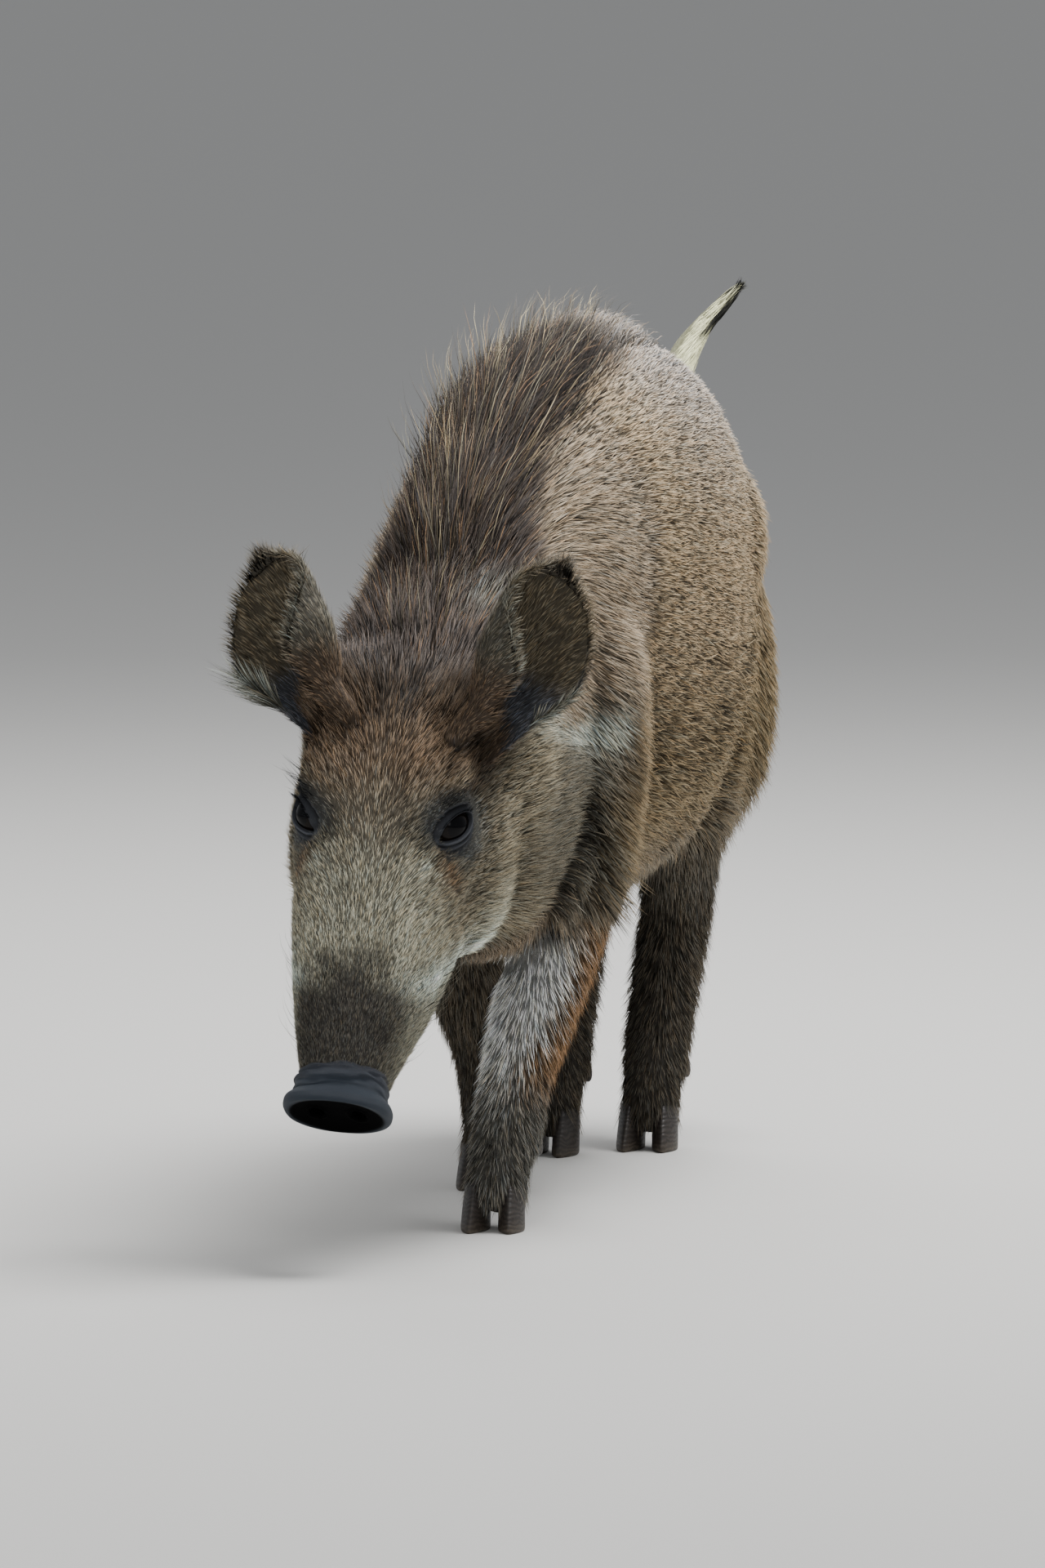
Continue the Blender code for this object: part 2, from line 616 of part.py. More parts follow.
# ---------------------------------------------------------------- hooves
HOOF_LENGTH = 0.052
HOOF_WIDTH = 0.0215
HOOF_APART = 0.0120  # from the foot's middle line to a claw's own middle line
HOOF_SIDES = 12
HOOF_TURN = math.radians(5)  # how far the two claws spread
FOOT_WAY = {"foreleg_left": 6.0, "foreleg_right": 0.0, "hindleg_left": 4.0, "hindleg_right": -2.0}
DEWCLAW_LENGTH = 0.023
DEWCLAW_RADIUS = 0.0072


def hoof_outline(side):
    """The sole of one claw, toe first, as (left, back) points: pointed in front, straight inside."""
    points = []
    for j in range(HOOF_SIDES):
        angle = 2 * math.pi * j / HOOF_SIDES
        across, back = math.sin(angle), -math.cos(angle)
        narrow = 1 - 0.45 * max(0.0, -back) ** 2
        inner = 0.80 if across * side < 0 else 1.0
        points.append((across * narrow * inner, back))
    return points


def make_hoof(name, foot, side):
    """One claw: a flat sole, a sloping front wall and a level top under the hair."""
    ring = LEGS[foot][-1]
    turn = math.radians(FOOT_WAY[foot]) + side * HOOF_TURN
    centre = Vector((ring.x, ring.y - 0.007, 0.0))
    levels = (  # height, share of the length and width, and how far it sits back
        (SOLE, 0.97, 0.96, -0.0020),
        (0.003, 1.00, 1.00, -0.0020),
        (0.014, 0.91, 0.99, 0.0010),
        (0.024, 0.80, 0.96, 0.0045),
        (CORONET - GAP, 0.73, 0.93, 0.0065),
    )

    def build(bm):
        loops = []
        for height, long, wide, back_by in levels:
            loop = []
            for across, back in hoof_outline(side):
                left = side * HOOF_APART + across * HOOF_WIDTH / 2 * wide
                behind = back * HOOF_LENGTH / 2 * long + back_by
                x = left * math.cos(turn) + behind * math.sin(-turn)
                y = left * math.sin(turn) + behind * math.cos(turn)
                loop.append(bm.verts.new(centre + Vector((x, y, height))))
            loops.append(loop)
        for one, two in zip(loops, loops[1:]):
            for j in range(HOOF_SIDES):
                k = (j + 1) % HOOF_SIDES
                bm.faces.new((one[j], one[k], two[k], two[j]))
        bm.faces.new(loops[0][::-1])
        bm.faces.new(loops[-1])

    return add_object(name, mesh_from(name, build), "hoof")


def make_dewclaw(name, foot, side, body_grown):
    """A small hanging claw behind the fetlock."""
    fetlock, pastern = LEGS[foot][-3], LEGS[foot][-2]
    root = Vector((fetlock.x + side * 0.0135, fetlock.y + 0.0150, fetlock.z - 0.001))
    tip_way = Vector((side * 0.28, 0.50, -0.82)).normalized()
    shares = ((0.0, 0.90), (0.35, 1.0), (0.70, 0.78), (0.92, 0.42), (1.0, 0.12))

    def build(bm):
        across = tip_way.cross(Vector((0, 1, 0))).normalized()
        other = tip_way.cross(across)
        loops = []
        for share, width in shares:
            centre = root + tip_way * DEWCLAW_LENGTH * share
            loop = []
            for j in range(10):
                angle = 2 * math.pi * j / 10
                spoke = across * math.cos(angle) + other * math.sin(angle) * 0.8
                loop.append(bm.verts.new(centre + spoke * DEWCLAW_RADIUS * width))
            loops.append(loop)
        for one, two in zip(loops, loops[1:]):
            for j in range(10):
                k = (j + 1) % 10
                bm.faces.new((one[j], one[k], two[k], two[j]))
        bm.faces.new(loops[0][::-1])
        bm.faces.new(loops[-1])

    claw = add_object(name, mesh_from(name, build), "hoof")
    add_boolean(claw, body_grown, "DIFFERENCE")
    return claw


def make_feet(body_grown):
    for foot in LEGS:
        for side, where in ((1, "left"), (-1, "right")):
            make_hoof(f"hoof_{foot}_{where}", foot, side)
            make_dewclaw(f"dewclaw_{foot}_{where}", foot, side, body_grown)


# ---------------------------------------------------------------- the boar
def stand_on_origin():
    """Hangs every part and cutter from one empty, which puts the origin under the boar's middle."""
    stand = bpy.data.objects.new("boar", None)
    bpy.context.scene.collection.objects.link(stand)
    for thing in bpy.data.objects:
        if thing is not stand:
            thing.parent = stand
    stand.location = ROW_SHIFT


def main():
    clear_scene()
    whole = whole_body()
    body_grown = grown_copy(whole, "grown body", GAP)
    regions = part_legs(whole)
    torso = part_torso(whole, regions)
    make_nose(torso["head"])
    make_eyes(torso["head"])
    make_ear(1, "ear_left", body_grown)
    make_ear(-1, "ear_right", body_grown)
    make_tail(body_grown)
    make_feet(body_grown)
    stand_on_origin()


main()
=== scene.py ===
# %% [markdown]
# # A young wild boar, life size
#
# This lesson dresses the boar's CAD model, the frame, in skin, coat, eyes and horn. The CAD solids reach
# about as far out as the coat, so the skin made here lies inside them, and the coat fills the space between.
# Everything is in metres, +Z up. The boar faces -Y and its left side is +X.

import math
from types import SimpleNamespace

import bmesh
import bpy
import numpy as np
from mathutils import Matrix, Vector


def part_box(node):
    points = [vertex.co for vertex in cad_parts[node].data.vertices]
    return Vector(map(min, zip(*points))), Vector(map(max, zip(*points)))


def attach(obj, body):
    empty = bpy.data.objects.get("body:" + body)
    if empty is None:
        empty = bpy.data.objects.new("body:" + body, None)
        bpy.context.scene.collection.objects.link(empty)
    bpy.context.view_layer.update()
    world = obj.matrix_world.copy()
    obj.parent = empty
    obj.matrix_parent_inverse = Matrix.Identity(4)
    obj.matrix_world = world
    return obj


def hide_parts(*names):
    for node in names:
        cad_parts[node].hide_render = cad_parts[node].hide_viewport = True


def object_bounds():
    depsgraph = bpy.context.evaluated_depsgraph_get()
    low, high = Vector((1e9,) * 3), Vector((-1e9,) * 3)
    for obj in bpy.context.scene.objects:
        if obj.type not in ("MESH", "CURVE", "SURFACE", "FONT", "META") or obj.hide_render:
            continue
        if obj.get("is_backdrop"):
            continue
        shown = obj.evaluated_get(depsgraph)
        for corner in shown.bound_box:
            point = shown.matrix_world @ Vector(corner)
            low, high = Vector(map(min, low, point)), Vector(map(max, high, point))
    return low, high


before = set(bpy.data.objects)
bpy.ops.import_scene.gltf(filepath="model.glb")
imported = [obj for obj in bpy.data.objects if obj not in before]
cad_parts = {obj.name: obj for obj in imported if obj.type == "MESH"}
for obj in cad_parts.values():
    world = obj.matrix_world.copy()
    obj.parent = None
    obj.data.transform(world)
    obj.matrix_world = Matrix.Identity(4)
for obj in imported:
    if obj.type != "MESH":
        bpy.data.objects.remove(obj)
cad_box = [list(corner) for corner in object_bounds()]
print("CAD box", [[round(v, 3) for v in corner] for corner in cad_box])

# %% [markdown]
# ## Directions of the head
#
# The head hangs forwards and down, and leans a little to one side. Places on it are given as distances
# back from the nose disc, to the left, and up towards the brow. One known point, the left eyeball's
# middle, ties these directions to the frame.

# %% Head frame
HEAD_PITCH = math.radians(58)
HEAD_TILT = math.radians(3)
EYE_IN_FRAME = (0.214, 0.0495, 0.027)  # the CAD eyeball's middle
EYE = SimpleNamespace(back=0.2141, left=0.0470, up=0.0282, radius=0.0160)

tilt = np.array(
    [[math.cos(HEAD_TILT), 0, math.sin(HEAD_TILT)], [0, 1, 0], [-math.sin(HEAD_TILT), 0, math.cos(HEAD_TILT)]]
)
HEAD_BACK = tilt @ (0, math.cos(HEAD_PITCH), math.sin(HEAD_PITCH))
HEAD_LEFT = tilt @ (1, 0, 0)
HEAD_UP = np.cross(HEAD_LEFT, HEAD_BACK)
HEAD_AXES = np.array([HEAD_BACK, HEAD_LEFT, HEAD_UP])  # rows: back, left, up

NOSE_IN_PLAN = np.array([-0.031, -0.600, 0.113])  # the disc's middle, with the origin under the withers' line
eye_middle = np.mean([list(corner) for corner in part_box("eye_left")], axis=0)
SHIFT = eye_middle - (NOSE_IN_PLAN + np.array(EYE_IN_FRAME) @ HEAD_AXES)
SHIFT[2] = 0.0
NOSE = NOSE_IN_PLAN + SHIFT
print("shift of the plan's origin to the frame's", SHIFT.round(4))


def head_point(back, left=0.0, up=0.0):
    """The point back, left and up from the nose disc: the nose plus each distance times its axis."""
    return NOSE + np.stack(np.broadcast_arrays(back, left, up), -1) @ HEAD_AXES


def head_coordinates(points):
    """The distances (back, left, up) of points: their offsets from the nose, projected on the three axes."""
    return (points - NOSE) @ HEAD_AXES.T


# %% [markdown]
# ## Tools for surfaces
#
# Most pieces are grids: a function gives a point for each pair of parameters, the whole array at once, and
# the faces join neighbouring points. A tube is such a grid carried along a path, closed with a pole at
# each end. The named rings of a tube are blended by a curve that never overshoots.


# %% Numbers and vectors
def unit(vectors):
    """Each vector divided by its own length."""
    vectors = np.asarray(vectors, float)
    return vectors / np.maximum(np.linalg.norm(vectors, axis=-1, keepdims=True), 1e-12)


def ramp(low, high, x):
    """0 below low, 1 above high, and the smooth step 3t^2 - 2t^3 between them. low may be above high."""
    t = np.clip((np.asarray(x, float) - low) / (high - low), 0, 1)
    return t * t * (3 - 2 * t)


def bell(x, middle, width):
    """A Gaussian bump of height 1: exp(-((x - middle) / width)^2)."""
    return np.exp(-(((np.asarray(x, float) - middle) / width) ** 2))


def mix(a, b, share):
    """a where share is 0 and b where it is 1, with share spread over the last axis when a row is a vector."""
    a, b, share = np.asarray(a, float), np.asarray(b, float), np.asarray(share, float)
    if max(a.ndim, b.ndim) > share.ndim or (share.ndim == 1 and 3 in (a.size, b.size)):
        share = share[..., None]
    return a * (1 - share) + b * share


def smooth_between(knots, values, at):
    """Cubic Hermite curve through values at knots, each tangent the harmonic mean of the slopes beside it."""
    knots, values, at = np.asarray(knots, float), np.asarray(values, float), np.asarray(at, float)
    flat = values.ndim == 1
    values = values[:, None] if flat else values
    width = np.diff(knots)[:, None]
    slope = np.diff(values, axis=0) / width
    tangent = np.concatenate([slope[:1], np.zeros_like(slope[1:]), slope[-1:]])
    product, total = slope[:-1] * slope[1:], slope[:-1] + slope[1:]
    tangent[1:-1] = np.where(product > 0, 2 * product / np.where(product > 0, total, 1), 0)
    i = np.clip(np.searchsorted(knots, at, side="right") - 1, 0, len(knots) - 2)
    t, step = ((at - knots[i]) / width[i, 0])[..., None], width[i]
    found = (
        values[i] * (1 + 2 * t) * (1 - t) ** 2
        + tangent[i] * step * t * (1 - t) ** 2
        + values[i + 1] * t * t * (3 - 2 * t)
        + tangent[i + 1] * step * t * t * (t - 1)
    )
    return found[..., 0] if flat else found


def rotated(points, axis, angle):
    """Points turned about an axis through the origin, by Rodrigues' formula."""
    axis, c, s = unit(axis), math.cos(angle), math.sin(angle)
    return points * c + np.cross(axis, points) * s + np.outer(points @ axis, axis) * (1 - c)


def ripple(points, size, seed):
    """Smooth noise mostly from -1 to 1: 1.6 times the mean of 9 random sine waves, each about size long."""
    rng = np.random.default_rng(seed)
    ways = unit(rng.normal(size=(9, 3))) * rng.uniform(0.6, 1.6, (9, 1)) * 2 * math.pi / size
    return np.sin(points @ ways.T + rng.uniform(0, 6.28, 9)).mean(axis=1) * 1.6


# %% Meshes from arrays
def grid_faces(rows, columns, closed=False, start=0, flip=False):
    """Quads between neighbours of a rows x columns grid; closed joins the last column to the first."""
    ids = start + np.arange(rows * columns).reshape(rows, columns)
    right = np.roll(ids, -1, axis=1)
    if not closed:
        ids, right = ids[:, :-1], right[:, :-1]
    quads = np.stack([ids[:-1], right[:-1], right[1:], ids[1:]], -1).reshape(-1, 4)
    return quads[:, ::-1] if flip else quads


def fan_faces(loop, pole, flip=False):
    """Triangles from a closed loop of point numbers to one pole."""
    fan = np.stack([loop, np.roll(loop, -1), np.full(len(loop), pole)], -1)
    return fan[:, ::-1] if flip else fan


def tube_mesh(grid, flip=False):
    """Points and faces of a grid closed round its columns, with a pole in the middle of each end ring."""
    rows, columns = grid.shape[:2]
    poles = np.stack([grid[0].mean(axis=0), grid[-1].mean(axis=0)])
    points = np.concatenate([grid.reshape(-1, 3), poles])
    first, last = np.arange(columns), (rows - 1) * columns + np.arange(columns)
    faces = [
        grid_faces(rows, columns, closed=True, flip=flip),
        fan_faces(first, rows * columns, flip=not flip),
        fan_faces(last, rows * columns + 1, flip=flip),
    ]
    return points, faces


def join(*parts):
    """Several (points, faces) pairs as one, the later faces renumbered."""
    points, faces, start = [], [], 0
    for part_points, part_faces in parts:
        points.append(part_points)
        faces += [sheet + start for sheet in part_faces]
        start += len(part_points)
    return np.concatenate(points), faces


def fill_mesh(mesh, points, faces, smooth=True):
    """Writes arrays of points and faces, each a sheet of triangles or quads, into an empty mesh."""
    loops = np.concatenate([sheet.reshape(-1) for sheet in faces]).astype(np.int32)
    sizes = np.concatenate([np.full(len(sheet), sheet.shape[1]) for sheet in faces])
    starts = np.concatenate([[0], np.cumsum(sizes)[:-1]]).astype(np.int32)
    mesh.vertices.add(len(points))
    mesh.vertices.foreach_set("co", np.asarray(points, np.float32).reshape(-1))
    mesh.loops.add(len(loops))
    mesh.loops.foreach_set("vertex_index", loops)
    mesh.polygons.add(len(sizes))
    mesh.polygons.foreach_set("loop_start", starts)
    mesh.polygons.foreach_set("use_smooth", np.full(len(sizes), smooth))
    mesh.update(calc_edges=True)
    mesh.validate()


def new_object(name, points, faces, material=None, smooth=True):
    """An object at the origin, made of those points and faces."""
    mesh = bpy.data.meshes.new(name)
    fill_mesh(mesh, points, faces, smooth)
    if material:
        mesh.materials.append(material)
    thing = bpy.data.objects.new(name, mesh)
    bpy.context.scene.collection.objects.link(thing)
    return thing


def points_of(mesh):
    """A mesh's points as an array."""
    points = np.empty(len(mesh.vertices) * 3, np.float32)
    mesh.vertices.foreach_get("co", points)
    return points.reshape(-1, 3).astype(float)


def set_points(mesh, points):
    """Writes moved points back into their mesh."""
    mesh.vertices.foreach_set("co", np.asarray(points, np.float32).reshape(-1))
    mesh.update()


def paint(mesh, name, values):
    """Stores one value, vector or colour per point."""
    values = np.asarray(values, np.float32)
    kinds = {1: ("FLOAT", "value"), 3: ("FLOAT_VECTOR", "vector"), 4: ("FLOAT_COLOR", "color")}
    kind, field = kinds[1 if values.ndim == 1 else values.shape[1]]
    mesh.attributes.new(name, kind, "POINT").data.foreach_set(field, values.reshape(-1))


# %% Tubes through named rings
def tube(rings, up, centres=None, sides=48, steps=8, dome=0.6):
    """A closed tube through rings, each a row (x, y, z, side, up, down, squareness).

    Between two rows every number is blended smoothly. A ring stands square to the path of the centres, and
    its outline is a superellipse: side |cos|^(2/n) across it and up or down |sin|^(2/n) along it. Each end
    is rounded off by rings that shrink as sqrt(1 - s^2) while they move out by s times dome times the radius.
    """
    rings = np.asarray(rings, float)
    at = np.linspace(0, len(rings) - 1, (len(rings) - 1) * steps + 1)
    dense = smooth_between(np.arange(len(rings)), rings, at)
    centre = dense[:, :3] if centres is None else centres(dense)
    way = unit(np.gradient(centre, axis=0))
    out = np.array([0.5, 0.85, 0.98])
    shrink = np.sqrt(1 - out**2)
    ends = []
    for end, sign in ((0, -1), (-1, 1)):
        reach = dome * min(dense[end, 3], dense[end, 4]) * out * sign
        rows = np.repeat(dense[end][None], 3, axis=0)
        rows[:, 3:6] *= shrink[:, None]
        ends.append((rows, centre[end] + way[end] * reach[:, None], np.repeat(way[end][None], 3, axis=0)))
    first = [part[::-1] for part in ends[0]]
    dense, centre, way = (np.concatenate(group) for group in zip(first, (dense, centre, way), ends[1]))
    across = unit(np.cross(way, up))
    upward = np.cross(across, way)
    angle = np.arange(sides) * 2 * math.pi / sides
    cos, sin, power = np.cos(angle), np.sin(angle), 2 / dense[:, 6:7]
    side = dense[:, 3:4] * np.sign(cos) * abs(cos) ** power
    reach = np.where(sin > 0, dense[:, 4:5], dense[:, 5:6]) * np.sign(sin) * abs(sin) ** power
    grid = centre[:, None] + side[..., None] * across[:, None] + reach[..., None] * upward[:, None]
    return tube_mesh(grid, flip=True)


def sphere(from_pole, turn):
    """Points (sin a cos t, sin a sin t, cos a) of the unit sphere, a from its pole and t round it."""
    sin = np.sin(from_pole)
    return np.stack([sin * np.cos(turn), sin * np.sin(turn), np.cos(from_pole) + 0 * turn], -1)


def ellipsoid(centre, axes, radii, rows=14, columns=24):
    """A closed ellipsoid: the unit sphere's points scaled by the radii along the three axes."""
    lat = np.linspace(0, math.pi, rows + 2)[1:-1, None]
    lon = np.arange(columns)[None] * 2 * math.pi / columns
    grid = centre + (sphere(lat, lon) * radii) @ np.asarray(axes, float)
    return tube_mesh(grid, flip=np.linalg.det(np.asarray(axes, float)) > 0)


# %% [markdown]
# ## The skin
#
# The skin is one surface over trunk, neck, head and legs. Its rings of flesh follow the same spine and
# limbs as the CAD, less the depth of the coat. The tubes and muscles are melted into one mesh by a voxel
# remesh, then evened out, because one continuous skin has no seams where parts meet.

# %% Rings of flesh: x, y, z of the middle, reach to the side, up and down, squareness
TORSO = (
    (0.000, 0.286, 0.466, 0.052, 0.072, 0.102, 2.0),
    (0.000, 0.225, 0.448, 0.079, 0.136, 0.158, 2.1),
    (0.000, 0.125, 0.434, 0.098, 0.173, 0.192, 2.2),
    (0.000, 0.010, 0.425, 0.108, 0.182, 0.217, 2.2),
    (0.000, -0.100, 0.418, 0.106, 0.178, 0.209, 2.2),
    (0.000, -0.195, 0.408, 0.096, 0.172, 0.200, 2.0),
    (-0.004, -0.275, 0.388, 0.085, 0.150, 0.182, 2.1),
    (-0.006, -0.345, 0.365, 0.080, 0.116, 0.176, 2.6),
    (-0.009, -0.405, 0.350, 0.078, 0.092, 0.150, 2.6),
    (-0.017, -0.445, 0.336, 0.070, 0.072, 0.108, 2.4),
)
HEAD = (  # the first number is the distance back from the nose disc
    (0.012, 0, 0, 0.0305, 0.0240, 0.0260, 2.4),
    (0.030, 0, 0, 0.0332, 0.0275, 0.0310, 2.4),
    (0.060, 0, 0, 0.0415, 0.0315, 0.0400, 2.5),
    (0.100, 0, 0, 0.0500, 0.0360, 0.0580, 2.5),
    (0.140, 0, 0, 0.0568, 0.0425, 0.0755, 2.5),
    (0.180, 0, 0, 0.0615, 0.0490, 0.0890, 2.4),
    (0.220, 0, 0, 0.0620, 0.0560, 0.0950, 2.3),
    (0.260, 0, 0, 0.0685, 0.0610, 0.0990, 2.3),
    (0.300, 0, 0, 0.0715, 0.0580, 0.0930, 2.2),
    (0.335, 0, 0, 0.0690, 0.0440, 0.0780, 2.1),
)
FORELEG_LEFT = (  # down the leg; up is its reach forwards and down its reach back
    (0.055, -0.205, 0.425, 0.038, 0.063, 0.071, 2.0),
    (0.061, -0.235, 0.345, 0.042, 0.067, 0.069, 2.0),
    (0.062, -0.245, 0.275, 0.036, 0.048, 0.055, 2.0),
    (0.052, -0.268, 0.215, 0.0305, 0.0350, 0.0380, 2.0),
    (0.038, -0.302, 0.148, 0.0270, 0.0280, 0.0290, 2.3),
    (0.030, -0.320, 0.105, 0.0235, 0.0220, 0.0270, 2.2),
    (0.026, -0.331, 0.068, 0.0250, 0.0250, 0.0280, 2.3),
    (0.024, -0.345, 0.045, 0.0210, 0.022, 0.023, 2.4),
    (0.023, -0.352, 0.024, 0.0220, 0.023, 0.021, 2.5),
)
FORELEG_RIGHT = (
    (-0.060, -0.200, 0.425, 0.038, 0.063, 0.071, 2.0),
    (-0.065, -0.222, 0.345, 0.042, 0.067, 0.069, 2.0),
    (-0.063, -0.205, 0.277, 0.036, 0.048, 0.055, 2.0),
    (-0.056, -0.182, 0.217, 0.0305, 0.0350, 0.0380, 2.0),
    (-0.047, -0.146, 0.150, 0.0270, 0.0280, 0.0290, 2.3),
    (-0.042, -0.119, 0.105, 0.0235, 0.0220, 0.0270, 2.2),
    (-0.040, -0.098, 0.068, 0.0250, 0.0250, 0.0280, 2.3),
    (-0.039, -0.106, 0.045, 0.0210, 0.022, 0.023, 2.4),
    (-0.039, -0.112, 0.024, 0.0220, 0.023, 0.021, 2.5),
)
HINDLEG_LEFT = (
    (0.0500, 0.222, 0.430, 0.033, 0.079, 0.063, 2.0),
    (0.0510, 0.200, 0.350, 0.034, 0.081, 0.077, 2.0),
    (0.044, 0.180, 0.285, 0.030, 0.061, 0.065, 2.0),
    (0.034, 0.194, 0.228, 0.0275, 0.0400, 0.0400, 2.0),
    (0.026, 0.208, 0.176, 0.0245, 0.0300, 0.0330, 2.3),
    (0.023, 0.186, 0.120, 0.0235, 0.0250, 0.0270, 2.2),
    (0.021, 0.163, 0.068, 0.0240, 0.0240, 0.0270, 2.3),
    (0.021, 0.150, 0.045, 0.0205, 0.022, 0.023, 2.4),
    (0.021, 0.143, 0.024, 0.0220, 0.023, 0.021, 2.5),
)
HINDLEG_RIGHT = (
    (-0.0500, 0.220, 0.430, 0.033, 0.079, 0.063, 2.0),
    (-0.0520, 0.190, 0.350, 0.034, 0.081, 0.077, 2.0),
    (-0.051, 0.160, 0.287, 0.030, 0.061, 0.065, 2.0),
    (-0.050, 0.168, 0.232, 0.0285, 0.0400, 0.0400, 2.0),
    (-0.048, 0.180, 0.178, 0.0250, 0.0300, 0.0330, 2.3),
    (-0.046, 0.150, 0.122, 0.0235, 0.0250, 0.0270, 2.2),
    (-0.044, 0.118, 0.068, 0.0240, 0.0240, 0.0270, 2.3),
    (-0.044, 0.104, 0.045, 0.0205, 0.022, 0.023, 2.4),
    (-0.044, 0.097, 0.024, 0.0220, 0.023, 0.021, 2.5),
)
LEGS = dict(
    foreleg_left=FORELEG_LEFT,
    foreleg_right=FORELEG_RIGHT,
    hindleg_left=HINDLEG_LEFT,
    hindleg_right=HINDLEG_RIGHT,
)
FORWARDS, UPWARDS, SIDEWAYS = np.array([0, -1, 0.0]), np.array([0, 0, 1.0]), np.array([1.0, 0, 0])
HEAD_LUMPS = (  # swellings of the head: back, left, up, then the radii along, to the side and up
    (0.234, 0.0430, 0.0430, 0.034, 0.021, 0.0175),
    (0.212, 0.0430, 0.0020, 0.050, 0.026, 0.0240),
    (0.245, 0.0470, -0.0280, 0.080, 0.031, 0.046),
    (0.214, 0.0420, -0.0520, 0.064, 0.032, 0.040),
    (0.300, 0.0490, -0.0340, 0.058, 0.032, 0.052),
    (0.300, 0.0440, 0.0340, 0.034, 0.026, 0.026),
)
CHIN = (0.052, 0.0, -0.030, 0.030, 0.023, 0.018)
VOXEL = 0.0053  # side of the cells that the flesh is melted in


def shifted(rings):
    """Rings with their middles moved from the plan to the frame."""
    rings = np.array(rings, float)
    rings[:, :3] += SHIFT
    return rings


def leg_muscles():
    """Ellipsoids on the legs: elbow, knee and upper arm in front; heel bone, stifle, ham and thigh behind."""
    made = []
    for name, rings in LEGS.items():
        rings = shifted(rings)
        out = np.sign(rings[0, 0] - SHIFT[0])
        upper, middle, lower = rings[[1, 2, 4], :3]  # upper arm or thigh, elbow or stifle, knee or hock
        if "fore" in name:
            made += [
                (middle + (0, 0.040, 0.004), (0.022, 0.022, 0.030)),
                (lower + (0, -0.010, 0.002), (0.020, 0.017, 0.024)),
                (upper + (out * 0.012, -0.018, 0.030), (0.032, 0.052, 0.070)),
            ]
        else:
            made += [
                (lower + (0, 0.026, 0.012), (0.0105, 0.013, 0.026)),
                (middle + (out * 0.002, -0.040, 0.018), (0.028, 0.028, 0.042)),
                (upper + (out * 0.002, 0.048, -0.004), (0.036, 0.052, 0.105)),
                (middle + (0, 0.042, 0.004), (0.027, 0.040, 0.070)),
                (upper + (0, -0.012, 0.100), (0.043, 0.085, 0.070)),
            ]
    return [ellipsoid(place, np.eye(3), radii) for place, radii in made]


def head_flesh():
    """The head's tube and its swellings, each of the paired ones on both sides."""
    parts = [tube(HEAD, HEAD_UP, centres=lambda rows: head_point(rows[:, 0]), steps=10, dome=0.25)]
    for side in (1, -1):
        for back, left, up, *radii in HEAD_LUMPS:
            parts.append(ellipsoid(head_point(back, side * left, up), HEAD_AXES, radii))
    parts.append(ellipsoid(head_point(*CHIN[:3]), HEAD_AXES, CHIN[3:]))
    return parts


def melted_flesh():
    """All the flesh as one surface of even quads about VOXEL wide."""
    parts = [tube(shifted(TORSO), UPWARDS)] + head_flesh() + leg_muscles()
    parts += [tube(shifted(rings), FORWARDS, sides=32) for rings in LEGS.values()]
    flesh = new_object("flesh", *join(*parts))
    melt = flesh.modifiers.new("one surface", "REMESH")
    melt.mode = "VOXEL"
    melt.voxel_size = VOXEL
    bpy.context.view_layer.update()
    mesh = bpy.data.meshes.new_from_object(flesh.evaluated_get(bpy.context.evaluated_depsgraph_get()))
    bpy.data.objects.remove(flesh)
    return mesh


def edges_of(mesh):
    """The two point numbers of each edge, as an array."""
    edges = np.empty(len(mesh.edges) * 2, np.int32)
    mesh.edges.foreach_get("vertices", edges)
    return edges.reshape(-1, 2)


def relaxed(points, edges, rounds, weight=0.5, share=1.0):
    """Points moved towards the mean of their neighbours, weight of the way each round, where share is 1."""
    ends, others = edges.reshape(-1), edges[:, ::-1].reshape(-1)
    count = np.maximum(np.bincount(ends, minlength=len(points)), 1)[:, None]
    share = np.broadcast_to(share, len(points))[:, None] * weight
    for _ in range(rounds):
        total = np.stack([np.bincount(ends, points[others, k], len(points)) for k in range(3)], -1)
        points = points + (total / count - points) * share
    return points


skin_mesh = melted_flesh()
set_points(skin_mesh, relaxed(points_of(skin_mesh), edges_of(skin_mesh), 9))
print("melted flesh:", len(skin_mesh.polygons), "quads")

# %% [markdown]
# ### A finer head
#
# Wrinkles and lids need smaller faces than flanks do, so only the head's quads are split in four, twice
# on the muzzle. After each split the points are evened again, which rounds the flat quads.


# %% Split the head's quads
def split_where(mesh, inside, rounds=3):
    """Cuts in four every quad whose points are all inside, then evens the points there."""
    bm = bmesh.new()
    bm.from_mesh(mesh)
    bm.verts.ensure_lookup_table()
    keep = inside(points_of(mesh))
    edges = [edge for edge in bm.edges if keep[edge.verts[0].index] and keep[edge.verts[1].index]]
    bmesh.ops.subdivide_edges(bm, edges=edges, cuts=1, use_grid_fill=True)
    bm.to_mesh(mesh)
    bm.free()
    points = points_of(mesh)
    share = inside(points).astype(float)
    set_points(mesh, relaxed(points, edges_of(mesh), rounds, 0.5, share))


def on_head(points):
    """True within a box round the head, in the head's own coordinates."""
    back, left, up = head_coordinates(points).T
    return (back < 0.325) & (abs(left) < 0.12) & (up > -0.135)


def on_muzzle(points):
    """True on the front 85 mm of the head."""
    return on_head(points) & (head_coordinates(points)[:, 0] < 0.085)


split_where(skin_mesh, on_head)
split_where(skin_mesh, on_muzzle)
print("with the finer head:", len(skin_mesh.polygons), "faces")

# %% [markdown]
# ### Lids
#
# An eyelid is too fine for quads that know nothing of it. Round each eye the skin is opened, and a grid
# is spun from the rim of the hole to the lid's margin. It has one column for each point of the rim, so it
# joins the skin without a seam. On the way its depth goes over from the face to a ball a little larger
# than the eye, and creases are pressed in at their distances from the margin.

